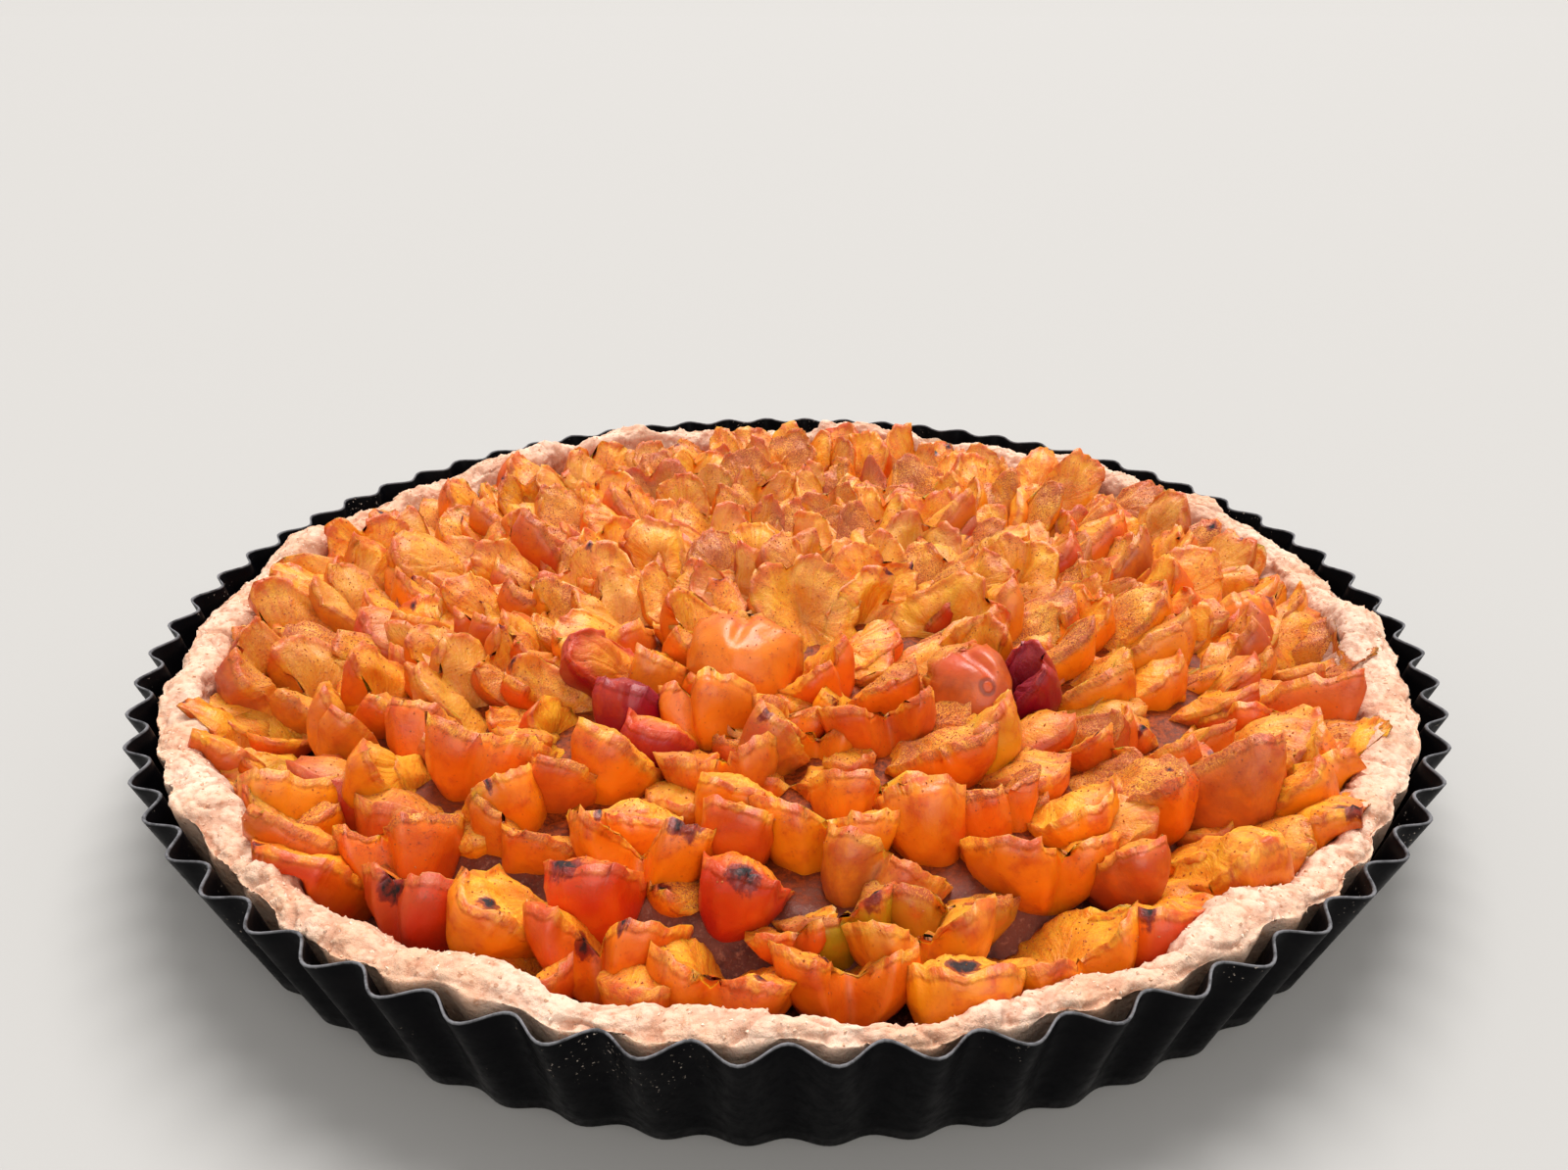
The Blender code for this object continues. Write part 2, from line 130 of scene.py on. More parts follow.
def raised(tree, height, strength, distance, under=None):
    inputs = {"Height": height, "Strength": strength, "Distance": distance}
    if under:
        inputs["Normal"] = under
    return add(tree, "ShaderNodeBump", inputs).outputs["Normal"]


def new_finish(name):
    """A material with its tree, its shader and the place on the object."""
    finish = bpy.data.materials.new(name)
    finish.use_nodes = True
    tree = finish.node_tree
    place = add(tree, "ShaderNodeTexCoord").outputs["Object"]
    return finish, tree, tree.nodes["Principled BSDF"], place


def coated_steel():
    finish, tree, shader, place = new_finish("dark_coated_steel")
    height = add(tree, "ShaderNodeSeparateXYZ", {0: place}).outputs["Z"]
    patches = clouds(tree, place, 90, 4)
    scuffs = clouds(tree, place, 420, 5, 0.7)
    # Painted shade: both tones of the coating are set darker than a real black coating, for the shade on the
    # tin.
    coating_with_painted_shade = mixed(tree, patches, seen(2, 2, 4), seen(6, 6, 9))
    worn = times(tree, eased(tree, height, TIN_HEIGHT - WEAR_FROM_EDGE[0], TIN_HEIGHT - WEAR_FROM_EDGE[1]),
                 eased(tree, scuffs, 0.30, 0.62, 0.25, 0.9))
    bared = mixed(tree, worn, coating_with_painted_shade, seen(128, 128, 132))
    high = eased(tree, height, DUST_FROM, TIN_HEIGHT)
    flour = times(tree, eased(tree, clouds(tree, place, 1500, 2), 0.66, 0.74),
                  times(tree, high, eased(tree, clouds(tree, place, 60, 2), 0.54, 0.70)))
    haze = times(tree, times(tree, high, HAZE_SHARE), eased(tree, patches, 0.45, 0.7))
    dusty = mixed(tree, haze, bared, seen(150, 135, 125))
    fill(tree, shader, {
        "Base Color": mixed(tree, flour, dusty, seen(215, 200, 185)),
        "Roughness": eased(tree, scuffs, 0.3, 0.75, 0.30, 0.52),
        "Normal": raised(tree, scuffs, 0.25, 0.05 * MM),
        "Metallic": 0.0, "Specular IOR Level": 0.04})
    return finish


def sheet_section():
    """The tin's sheet cut through, from the middle of its underside out, up, over the edge and back in.

    Each point is a radius, the share of the flutes' depth that reaches it, and a height.
    """
    half_base = TIN_BASE_RADIUS / 2
    half_sheet = TIN_SHEET / 2

    def wall(height, inset):
        share = height / TIN_HEIGHT
        return TIN_BASE_RADIUS + (TIN_EDGE_RADIUS - TIN_BASE_RADIUS) * share - inset, 1.0, height

    outside = [(0.0, 0.0, 0.0), (half_base, 0.0, 0.0), (TIN_BASE_RADIUS - FLAT_INSET, 0.0, 0.0),
               (TIN_BASE_RADIUS - TURN_INSET, 1.0, 0.0)]
    for i in range(TIN_WALL_ROWS + 1):
        outside.append(wall(TURN_HEIGHT + (TIN_HEIGHT - half_sheet - TURN_HEIGHT) * i / TIN_WALL_ROWS, 0.0))
    edge = []
    for turn in (45, 90, 135):
        radius = TIN_EDGE_RADIUS - half_sheet + half_sheet * math.cos(math.radians(turn))
        edge.append((radius, 1.0, TIN_HEIGHT - half_sheet * (1 - math.sin(math.radians(turn)))))
    inside = []
    for i in range(TIN_WALL_ROWS + 1):
        height = TIN_HEIGHT - half_sheet + (BASE_ROUNDING - TIN_HEIGHT) * i / TIN_WALL_ROWS
        inside.append(wall(height, TIN_SHEET))
    inside += [(TIN_BASE_RADIUS - BASE_ROUNDING, 1.0, TIN_SHEET), (half_base, 0.0, TIN_SHEET),
               (0.0, 0.0, TIN_SHEET)]
    return outside + edge + inside


def new_group(name, inputs, output):
    """An empty Geometry Nodes tree with named inputs and one output, and what it is given."""
    tree = bpy.data.node_groups.new(name, "GeometryNodeTree")
    for key, kind in inputs.items():
        tree.interface.new_socket(key, in_out="INPUT", socket_type="NodeSocket" + kind)
    tree.interface.new_socket(output, in_out="OUTPUT", socket_type="NodeSocketGeometry")
    return tree, tree.nodes.new("NodeGroupInput").outputs


def end_group(tree, geometry, finish, output):
    """Makes a tree's geometry real, gives it its finish and hands it on."""
    real = add(tree, "GeometryNodeRealizeInstances", {"Geometry": geometry})
    dressed = add(tree, "GeometryNodeSetMaterial", {"Geometry": real.outputs[0], "Material": finish})
    add(tree, "NodeGroupOutput", {output: dressed.outputs[0]})
    return tree


def fluted_tree(finish):
    """Geometry Nodes that turn a section round the Z axis and press flutes into it."""
    tree, given = new_group("turned_and_fluted", {
        "Section": "Geometry", "Flutes": "Int", "Steps per Flute": "Int",
        "Height": "Float", "Depth at Base": "Float", "Depth at Edge": "Float"}, "Sheet")
    size = add(tree, "GeometryNodeAttributeDomainSize", {0: given["Section"]}, component="MESH")
    rows = size.outputs["Point Count"]
    steps = times(tree, given["Flutes"], given["Steps per Flute"])
    grid = add(tree, "GeometryNodeMeshGrid", {
        "Size X": 1.0, "Size Y": 1.0, "Vertices Y": rows, "Vertices X": math_of(tree, "ADD", steps, 1.0)})
    index = tree.nodes.new("GeometryNodeInputIndex").outputs[0]
    row = math_of(tree, "MODULO", index, rows)
    column = math_of(tree, "FLOOR", math_of(tree, "DIVIDE", math_of(tree, "ADD", index, 0.5), rows))
    position = tree.nodes.new("GeometryNodeInputPosition").outputs[0]
    sought = {"Geometry": given["Section"], "Value": position, "Index": row}
    sample = add(tree, "GeometryNodeSampleIndex", sought, data_type="FLOAT_VECTOR", domain="POINT")
    point = add(tree, "ShaderNodeSeparateXYZ", {0: sample.outputs["Value"]}).outputs
    angle = times(tree, math_of(tree, "DIVIDE", column, steps), 2 * math.pi)
    wave = math_of(tree, "COSINE", times(tree, angle, given["Flutes"]))
    inwards = math_of(tree, "SUBTRACT", 0.5, times(tree, wave, 0.5))
    depth = add(tree, "ShaderNodeMapRange", {
        "Value": point["Z"], "From Min": 0.0, "From Max": given["Height"],
        "To Min": given["Depth at Base"], "To Max": given["Depth at Edge"]}).outputs["Result"]
    radius = math_of(tree, "SUBTRACT", point["X"], times(tree, times(tree, inwards, point["Y"]), depth))
    turned = add(tree, "ShaderNodeCombineXYZ", {
        "X": times(tree, radius, math_of(tree, "COSINE", angle)),
        "Y": times(tree, radius, math_of(tree, "SINE", angle)), "Z": point["Z"]}).outputs[0]
    placed = add(tree, "GeometryNodeSetPosition", {"Geometry": grid.outputs["Mesh"], "Position": turned})
    closed = add(tree, "GeometryNodeMergeByDistance", {"Geometry": placed.outputs[0], "Distance": SEAM_WIDTH})
    smooth = add(tree, "GeometryNodeSetShadeSmooth", {"Geometry": closed.outputs[0]})
    return end_group(tree, smooth.outputs[0], finish, "Sheet")


def put(name, data):
    """A new object of that name in the scene, at the origin."""
    placed = bpy.data.objects.new(name, data)
    bpy.context.scene.collection.objects.link(placed)
    return placed


def grown(name, source, tree, values):
    """Puts a mesh through a node tree with the values given, and keeps the result as a plain new object."""
    seed = put(name + "_source", source)
    modifier = seed.modifiers.new("grow", "NODES")
    modifier.node_group = tree
    for item in tree.interface.items_tree:
        if item.in_out == "INPUT" and item.name in values:
            modifier[item.identifier] = values[item.name]
    bpy.context.view_layer.update()
    mesh = bpy.data.meshes.new_from_object(seed.evaluated_get(bpy.context.evaluated_depsgraph_get()))
    seed.modifiers.clear()
    bpy.data.objects.remove(seed)
    mesh.name = name
    return put(name, mesh)


section = bpy.data.meshes.new("tin_section")
section.from_pydata(sheet_section(), [], [])
tin_finish = coated_steel()
tin = grown("fluted_tin", section, fluted_tree(tin_finish), {
    "Flutes": FLUTES, "Steps per Flute": TIN_STEPS_PER_FLUTE, "Height": TIN_HEIGHT,
    "Depth at Base": FLUTE_DEPTH_AT_BASE, "Depth at Edge": FLUTE_DEPTH_AT_EDGE})
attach(tin, "root")
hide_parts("tin")


# The pastry case: shortcrust dough, pressed into the tin and up its wall by thumb, then baked. It has drawn
# back from the tin, and its rim is lumpy, cracked and lightly floured. Its section is swept round the tart,
# and each point is moved out or in by lumps, crags and crumbs.
CLEARANCE = 0.4 * MM
PASTRY_BASE = 4.5 * MM
PASTRY_RIM_WIDTH = 7.0 * MM
WIDER_AT_SIDES = 2.5 * MM
PASTRY_RIM_TOP = TIN_HEIGHT - 0.5 * MM
PASTRY_SHRINK = 1.2 * MM
LEAST_SHRINK = 0.6 * MM
HEEL_INSET = 0.9 * MM
SHOULDER_DROP = 3.0 * MM
SLOPE_HEIGHT = TIN_HEIGHT * 0.42
BACK_DROP = 4.5 * MM
BACK_FLUTING = 0.5
BROW_DROP = 1.2 * MM
BROW_INSET = 0.4 * MM
TOP_WAVES = ((3, 0.5 * MM), (8, 0.8 * MM), (13, 0.9 * MM), (21, 0.8 * MM), (34, 0.5 * MM))
SHRINK_WAVES = ((2, 0.5 * MM), (5, 0.5 * MM), (11, 0.5 * MM), (19, 0.4 * MM))
WIDTH_WAVES = ((4, 0.6 * MM), (9, 0.7 * MM), (17, 0.7 * MM), (29, 0.5 * MM))
TOP_SEED = 3
SHRINK_SEED = 4
WIDTH_SEED = 5
PASTRY_COLUMNS = 1518
ROWS_UP_THE_BACK = 7
ROWS_AT_THE_BROW = 6
ROWS_OVER_THE_RIM = 14
ROWS_DOWN_THE_SLOPE = 9
FREE_BEFORE_BROW = 2
ROWS_TO_FREE = 8
ROWS_HELD_AT_FOOT = 6
INSIDE_PAST_CREST = 0.8
LUMP_SIZE = 11.0 * MM
LUMP_HEIGHT = 1.6 * MM
LUMP_DETAIL = (0.9, 2.1, 3)
LUMPIER_AT_BACK = 0.9
CRAG_SIZE = 3.9 * MM
CRAG_HEIGHT = 0.6 * MM
CRAG_MEAN = 0.42
CRAG_EDGE = 0.2
CRUMB_SIZE = 1.3 * MM
CRUMB_HEIGHT = 0.56 * MM
CRUMB_MEAN = 0.40
CRUMB_REACH = 0.8
PIT_FROM = 0.15
CRACK_SIZE = 12.0 * MM
CRACK_DEPTH = 0.7 * MM
CRACK_WIDTH = 0.06
CRACK_SHIFT = Vector((7, 3, 1))


def waves(angle, strengths, seed):
    """A closed uneven line round the tart: a sum of sines."""
    draw = random.Random(seed)
    return sum(height * np.sin(count * angle + draw.uniform(0, 2 * math.pi)) for count, height in strengths)


def pastry_floor():
    return TIN_WALL + CLEARANCE + PASTRY_BASE


def flute_radius(angle, height):
    share = np.clip(height / TIN_HEIGHT, 0.0, 1.0)
    depth = FLUTE_DEPTH_AT_BASE + (FLUTE_DEPTH_AT_EDGE - FLUTE_DEPTH_AT_BASE) * share
    outermost = TIN_BASE_RADIUS + (TIN_EDGE_RADIUS - TIN_BASE_RADIUS) * share
    return outermost - depth / 2 * (1 - np.cos(FLUTES * angle))


def room_radius(height):
    """Radius of the plain round room inside the flutes at a height."""
    return flute_radius(math.pi / FLUTES, height) - TIN_WALL


def rim_lines(angle, gap=0.0):
    """Lines round the pastry, from its heel over the rim to the foot inside, as radii and heights.

    gap moves the inner lines inwards, for what lies inside the case.
    """
    top = PASTRY_RIM_TOP + waves(angle, TOP_WAVES, TOP_SEED)
    shrink = np.maximum(LEAST_SHRINK, PASTRY_SHRINK + waves(angle, SHRINK_WAVES, SHRINK_SEED))
    wider = WIDER_AT_SIDES * np.cos(angle) ** 2
    width = PASTRY_RIM_WIDTH + wider + waves(angle, WIDTH_WAVES, WIDTH_SEED)
    below = TIN_WALL + CLEARANCE
    flat = np.zeros_like(angle)
    edge = room_radius(TIN_HEIGHT) - shrink

    def pressed(height, inset):
        return flute_radius(angle, height) - TIN_WALL - CLEARANCE - inset

    plain = room_radius(top - BACK_DROP) - shrink
    return {
        "under": (pressed(below, HEEL_INSET), flat + below),
        "back": (plain + (pressed(top - BACK_DROP, shrink) - plain) * BACK_FLUTING, top - BACK_DROP),
        "brow": (edge - BROW_INSET, top - BROW_DROP),
        "crest": (edge - width / 2 - gap, top),
        "shoulder": (edge - width - gap, top - SHOULDER_DROP),
        "slope": (room_radius(SLOPE_HEIGHT) - shrink / 2 - width - gap, flat + SLOPE_HEIGHT),
        "foot": (room_radius(pastry_floor()) - width * 4 / 3 - gap, flat + pastry_floor()),
    }


def smooth_between(lines, steps):
    """A smooth run of lines through the given ones, with so many steps in each stretch between two."""
    rows = []
    last = len(lines) - 1
    for i in range(last):
        before, start = lines[max(i - 1, 0)], lines[i]
        end, after = lines[i + 1], lines[min(i + 2, last)]
        slope = end - before
        bend = 2 * before - 5 * start + 4 * end - after
        twist = 3 * start - before - 3 * end + after
        for k in range(steps[i]):
            t = k / steps[i]
            rows.append(0.5 * (2 * start + slope * t + bend * t * t + twist * t ** 3))
    rows.append(lines[last])
    return np.array(rows)


def swept(rows, angle):
    """A grid of points, from rows of radii and heights carried round the axis."""
    return np.stack([rows[:, 0] * np.cos(angle), rows[:, 0] * np.sin(angle), rows[:, 1]], axis=2)


def facing(rows):
    """The direction that a swept skin faces at each point of a grid that is closed along each row."""
    along = np.roll(rows, -1, axis=1) - np.roll(rows, 1, axis=1)
    up = np.gradient(rows, axis=0)
    normal = np.cross(along, up)
    return normal / np.maximum(np.linalg.norm(normal, axis=2, keepdims=True), 1e-12)


def skin_faces(rows, columns):
    """Faces of a swept skin. Its first and last rows close on a point each, put before and after the grid."""
    last = 1 + (rows - 1) * columns
    top = rows * columns + 1
    faces = []
    for i in range(columns):
        j = (i + 1) % columns
        faces.append((0, 1 + j, 1 + i))
        faces.append((last + i, last + j, top))
        for k in range(rows - 1):
            low, high = 1 + k * columns, 1 + (k + 1) * columns
            faces.append((low + i, low + j, high + j, high + i))
    return faces


def keep(mesh, name, values, kind="FLOAT"):
    """Keeps a value, or a direction, at each point of a mesh."""
    field = "value" if kind == "FLOAT" else "vector"
    kept = mesh.attributes.new(name, kind, "POINT")
    kept.data.foreach_set(field, np.asarray(values, dtype=np.float32).ravel())


def new_piece(name, points, faces, finish, shares=None, directions=None):
    """A smooth mesh object at the origin. shares and directions are kept at its points by name."""
    mesh = bpy.data.meshes.new(name)
    mesh.from_pydata(np.asarray(points).tolist(), [], faces)
    for key, values in (shares or {}).items():
        keep(mesh, key, values)
    for key, values in (directions or {}).items():
        keep(mesh, key, values, "FLOAT_VECTOR")
    mesh.shade_smooth()
    mesh.materials.append(finish)
    return put(name, mesh)


def attribute(tree, name, output="Fac"):
    return add(tree, "ShaderNodeAttribute", attribute_name=name).outputs[output]


def baked_pastry():
    finish, tree, shader, place = new_finish("baked_shortcrust")
    inside = attribute(tree, "inside")
    hollow = attribute(tree, "hollow")
    broad = clouds(tree, place, 55, 3)
    fine = clouds(tree, place, 480, 5, 0.65)
    grit = clouds(tree, place, 1900, 3, 0.7)
    pale = mixed(tree, eased(tree, broad, 0.35, 0.68), seen(242, 208, 184), seen(230, 182, 150))
    baked = mixed(tree, eased(tree, fine, 0.50, 0.72, 0.0, 0.65), pale, seen(194, 126, 84))
    floured = mixed(tree, eased(tree, fine, 0.42, 0.28, 0.0, 0.5), baked, seen(238, 208, 186))
    moist = mixed(tree, eased(tree, inside, 0.25, 0.95, 0.0, 0.85), floured, seen(150, 96, 74))
    # Painted shade: the hollows of crags, pits and cracks are multiplied darker, where shade would fall.
    sunk = mixed(tree, eased(tree, hollow, 0.4, 1.0, 0.0, 0.45), moist, seen(196, 144, 118), "MULTIPLY")
    spots = times(tree, eased(tree, cells(tree, place, 420), 0.20, 0.12),
                  eased(tree, clouds(tree, place, 130, 2), 0.52, 0.62))
    spotted = mixed(tree, times(tree, spots, 0.6), sunk, seen(172, 102, 62))
    grains = times(tree, eased(tree, cells(tree, place, 900), 0.16, 0.08),
                   eased(tree, broad, 0.46, 0.62, 0.0, 0.55))
    crumbly = raised(tree, fine, 1.0, 0.6 * MM)
    fill(tree, shader, {
        "Base Color": mixed(tree, grains, spotted, seen(250, 234, 216)),
        "Roughness": eased(tree, inside, 0.4, 1.0, 0.86, 0.5),
        "Normal": raised(tree, grit, 0.8, 0.2 * MM, crumbly),
        "Subsurface Weight": 0.12, "Subsurface Radius": (1.0, 0.5, 0.3), "Subsurface Scale": 1.5 * MM})
    return finish


def pastry_skin():
    """Points of the pastry's skin, how far inside each lies, and how deep in a crag, to paint shade there."""
    angle = np.linspace(0, 2 * math.pi, PASTRY_COLUMNS, endpoint=False)
    over = ROWS_OVER_THE_RIM
    rows = smooth_between([np.stack(line) for line in rim_lines(angle).values()],
                          (ROWS_UP_THE_BACK, ROWS_AT_THE_BROW, over, over, over, ROWS_DOWN_THE_SLOPE))
    points = swept(rows, angle)
    count = len(rows)
    row = np.arange(count)
    brow = ROWS_UP_THE_BACK
    slope = brow + ROWS_AT_THE_BROW + 2 * over
    freedom = np.clip((row - brow + FREE_BEFORE_BROW) / ROWS_TO_FREE, 0, 1)
    freedom = freedom * np.clip((count - 1 - row) / ROWS_HELD_AT_FOOT, 0, 1)
    inside = np.clip((row - brow - ROWS_AT_THE_BROW - over * INSIDE_PAST_CREST) / (slope - brow), 0, 1)
    normal = facing(points)
    hollow = np.zeros(points.shape[:2])
    for k in range(count):
        if freedom[k] == 0:
            continue
        for i in range(PASTRY_COLUMNS):
            spot = Vector(points[k, i])
            lumpier = 1 + LUMPIER_AT_BACK * max(0.0, math.sin(angle[i]))
            lump = noise.fractal(spot / LUMP_SIZE, *LUMP_DETAIL) * LUMP_HEIGHT * lumpier
            near = noise.voronoi(spot / CRAG_SIZE)[0][0]
            crag = (CRAG_MEAN - near) * CRAG_HEIGHT
            crumb = (CRUMB_MEAN - min(noise.voronoi(spot / CRUMB_SIZE)[0][0], CRUMB_REACH)) * CRUMB_HEIGHT
            ridge = abs(noise.noise(spot / CRACK_SIZE + CRACK_SHIFT))
            crack = max(0.0, 1 - ridge / CRACK_WIDTH)
            points[k, i] += normal[k, i] * (lump + crag + crumb - crack * CRACK_DEPTH) * freedom[k]
            # Painted shade: how deep each point lies in a crag, pit or crack, for the finish to darken it
            # there.
            pit = max(0.0, PIT_FROM - crumb / CRUMB_HEIGHT)
            hollow[k, i] = min(1.0, max(0.0, near - CRAG_EDGE + pit + crack / 2)) * freedom[k]
    below, floor = (0, 0, TIN_WALL + CLEARANCE), (0, 0, pastry_floor())
    skin = np.concatenate([[below], points.reshape(-1, 3), [floor]])
    shares = {
        "inside": np.concatenate([[0.0], np.repeat(inside, PASTRY_COLUMNS), [1.0]]),
        "hollow": np.concatenate([[0.0], hollow.ravel(), [0.0]]),
    }
    return skin, skin_faces(count, PASTRY_COLUMNS), shares


points, faces, shares = pastry_skin()
pastry_finish = baked_pastry()
pastry = new_piece("shortcrust_case", points, faces, pastry_finish, shares)
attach(pastry, "root")
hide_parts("pastry")


# The bed: plum juice that has boiled down with sugar and cinnamon to a dark, sticky gel, and soft plum flesh
# packed higher towards the middle. It shows in the gaps between the plums and along the rim. The packed
# flesh is painted a darker brown than baked flesh, as painted shade in those gaps.
JUICE_DEPTH = 3.5 * MM
PACKED_DEPTH = 12.5 * MM
PACKED_RADIUS = 106 * MM
PACKED_SLOPE = 11 * MM
BED_COLUMNS = 480
BED_ROWS = 60
BED_LIFT = 0.3 * MM
BED_OVERLAP = 0.6 * MM
BED_ROUGHNESS = 0.7 * MM
BED_GRAINS_PER_METRE = 160
BED_DETAIL = (0.8, 2.2, 3)
PACKED_LUMP_SIZE = 9 * MM
PACKED_LUMP_HEIGHT = 2.2 * MM
PACKED_LUMP_REACH = 0.5
FLESH_FADE = 14 * MM


def boiled_juice():
    finish, tree, shader, place = new_finish("boiled_down_juice")
    broad = clouds(tree, place, 120, 4)
    fine = clouds(tree, place, 900, 5, 0.7)
    gel = mixed(tree, eased(tree, broad, 0.35, 0.65), seen(70, 32, 30), seen(122, 68, 54))
    sugary = mixed(tree, eased(tree, fine, 0.50, 0.72, 0.0, 0.6), gel, seen(182, 124, 100))
    # Painted shade: the packed flesh is set darker than baked flesh, for the shade in the gaps between plums.
    flesh = mixed(tree, eased(tree, fine, 0.35, 0.65), seen(158, 68, 18), seen(88, 34, 12))
    from_middle = add(tree, "ShaderNodeVectorMath", {0: place}, operation="LENGTH").outputs["Value"]
    packed = eased(tree, from_middle, PACKED_RADIUS + PACKED_SLOPE, PACKED_RADIUS - FLESH_FADE)
    fill(tree, shader, {
        "Base Color": mixed(tree, packed, sugary, flesh),
        "Roughness": eased(tree, packed, 0.0, 1.0, 0.3, 0.5),
        "Normal": raised(tree, fine, 0.8, 0.3 * MM),
        "Specular IOR Level": 0.18})
    return finish


def step(low, high, value):
    """A smooth step from 0 at the low end to 1 at the high one."""
    share = np.clip((value - low) / (high - low), 0, 1)
    return share * share * (3 - 2 * share)


def bed_skin():
    """Points of the bed: a flat underside, a wall just inside the pastry, and an uneven top."""
    angle = np.linspace(0, 2 * math.pi, BED_COLUMNS, endpoint=False)
    lines = rim_lines(angle, CLEARANCE)
    foot, slope = lines["foot"][0], lines["slope"][0]
    low = pastry_floor() + BED_LIFT
    juice = pastry_floor() + JUICE_DEPTH
    share = (juice - pastry_floor()) / (SLOPE_HEIGHT - pastry_floor())
    edge = foot + (slope - foot) * share + BED_OVERLAP
    rows = [np.stack([foot, np.full_like(foot, low)])]
    for k in range(BED_ROWS):
        radius = edge * (1 - k / BED_ROWS)
        packed = step(0, 1, (PACKED_RADIUS + PACKED_SLOPE - radius) / PACKED_SLOPE)
        rows.append(np.stack([radius, juice + (PACKED_DEPTH - JUICE_DEPTH) * packed]))
    points = swept(np.array(rows), angle)
    for k in range(2, len(points)):
        for i in range(BED_COLUMNS):
            spot = Vector(points[k, i])
            lump = max(0.0, PACKED_LUMP_REACH - noise.voronoi(spot / PACKED_LUMP_SIZE)[0][0])
            grain = noise.fractal(spot * BED_GRAINS_PER_METRE, *BED_DETAIL)
            points[k, i, 2] += grain * BED_ROUGHNESS + lump * PACKED_LUMP_HEIGHT
    top = pastry_floor() + PACKED_DEPTH
    skin = np.concatenate([[(0, 0, low)], points.reshape(-1, 3), [(0, 0, top)]])
    return skin, skin_faces(len(points), BED_COLUMNS)


points, faces = bed_skin()
bed = new_piece("juice_and_packed_flesh", points, faces, boiled_juice())
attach(bed, "root")
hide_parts("plums")


# The plums: small yellow plums, split and stoned, most of them notched at the tip, stood in rings with the
# cut face towards the middle. Baked soft, with satin skins, fibrous flesh under cinnamon and charred tips.
# Each ring is one piece, and so are the small slices tucked into the gaps.
PLUM_LENGTH = 27.5 * MM
PLUM_WIDTH = 23.5 * MM
PLUM_DEPTH = 10.8 * MM
ROW_PITCH = 13.5 * MM
OUTER_ROW_RADIUS = 114 * MM
PLUM_PITCH = 21 * MM
HEART_PLACE = (7 * MM, -12 * MM)
LAYOUT_SEED = 11
HALVED_SHARE = 0.66
QUARTER_WIDTHS = (0.62, 0.8)
PLUM_SIZES = (0.86, 1.14)
PLUM_LENGTHS = (0.95, 1.08)
PLUM_DEPTHS = (0.85, 1.2)
NOTCHES = (0.08, 0.42)
FOLDS = (0.0, 0.22)
CURLS = (-0.1, 0.25)
FOOT_HEIGHTS = (-0.5 * MM, 1.5 * MM)
TIP_HEIGHTS = (26.5 * MM, 34 * MM)
STEEPEST = 0.86
HEART_RISE = 5 * MM
HEART_PLUMS = 7
HEART_REACH = (4 * MM, 15 * MM)
HEART_TILT = (20, 50)
HEART_HEADINGS = (-20, 200)
HEART_ROOM = 9 * MM
ROW_STRAY = 2.2 * MM
PITCH_STRAY = 0.16
HEADING_SPREAD = math.radians(18)
HEART_HEADING_SPREAD = math.radians(45)
ROLL_SPREAD = math.radians(21)
GAP_ROOM = 12.5 * MM
GAP_STEP = 6 * MM
TUCKED_SEED = 5
TUCKED_SIZES = (0.62, 0.85)
TUCKED_TIPS = (21 * MM, 27 * MM)
TUCKED_LIFT = 3.5 * MM
TUCKED_ROOM = 5.0 * MM
TUCKED_ROOM_BY_STANDOUTS = 9.0 * MM
TUCKED_STEP = 3 * MM
TUCKED_SPREAD = math.radians(30)
TUCKED_COLUMNS = 32
TUCKED_RINGS = 6
PLUM_COLUMNS = 64
PLUM_RINGS = 13
LAST_RING = 7
FIRST_PLUM_SEED = 1000
REACH_OVER_RIM = 2 * MM
HIGHEST_TIP = 37 * MM
PRESSED_DOWN = 0.7

# The edge of a plum's cut face, in shares of its length and of half its width.
PLUM_MIDDLE = 0.42
TIP_POWER = 0.55
STEM_POWER = 0.9
SIDE_POWER = 0.85
NOTCH_SPREAD = 0.5
NOTCH_STRAY = 0.14
NOTCH_POWER = 1.1
TIP_SLANT = 0.07
UNEVEN_COUNTS = range(2, 7)
UNEVEN_ALONG = 0.012
UNEVEN_ACROSS = 0.02
STEM_WIDTHS = (0.86, 0.14)
RING_POWER = 0.8

# The form of its cut face and skin. Heights are shares of its depth, places and widths shares of its size.
LIP_HEIGHT = 0.06
LIP_WIDTH = 0.10
STONE_DEPTH = 0.32
STONE_PLACE = 0.45
STONE_SPREAD = (0.33, 0.36)
FLANK_HEIGHT = 0.10
QUARTER_RIDGE = 0.42
QUARTER_POWERS = (1.3, 2.5)
DIP_DEPTH = 0.12
DIP_SPREAD = (0.3, 0.22)
SKIN_THICKEN = 1.05
SKIN_POWERS = (2.6, 0.62)
SKIN_FULLNESS = (0.82, 0.18)
CREASE_HEIGHT = 0.35
CREASE_WIDTH = 0.12
CREASE_ENDS = (0.55, 0.95)
FOLD_POWER = 1.2
CURL_START = 0.35

# What baking does to it. Wrinkles and fibres are lower on the skin, and the edge of the cut is ragged.
WRINKLE_SEED = 9
WRINKLE_SIZE = 9.0 * MM
WRINKLE_HEIGHT = 1.7 * MM
SMOOTHER_SKIN = 0.6
DENT_SIZE = 4.5 * MM
DENT_HEIGHT = 0.55 * MM
FIBRE_SIZE = 2.2 * MM
FIBRE_HEIGHT = 0.35 * MM
FEWER_FIBRES = 0.75
RIDGE_COUNTS = (7, 11, 16, 23)
RIDGE_HEIGHT = 0.13 * MM
RAGGED_SIZE = 2.0 * MM
RAGGED_HEIGHT = 1.2 * MM
RAGGED_FROM = 0.8
RAGGED_WIDTH = 0.2
LESS_RAGGED = 0.6
PATTERN_SPAN = 60
STREAK_LENGTH = 0.25
STREAK_SPAN = 40
CHAR_SIZE = 0.74
CHAR_CORE = 1.5
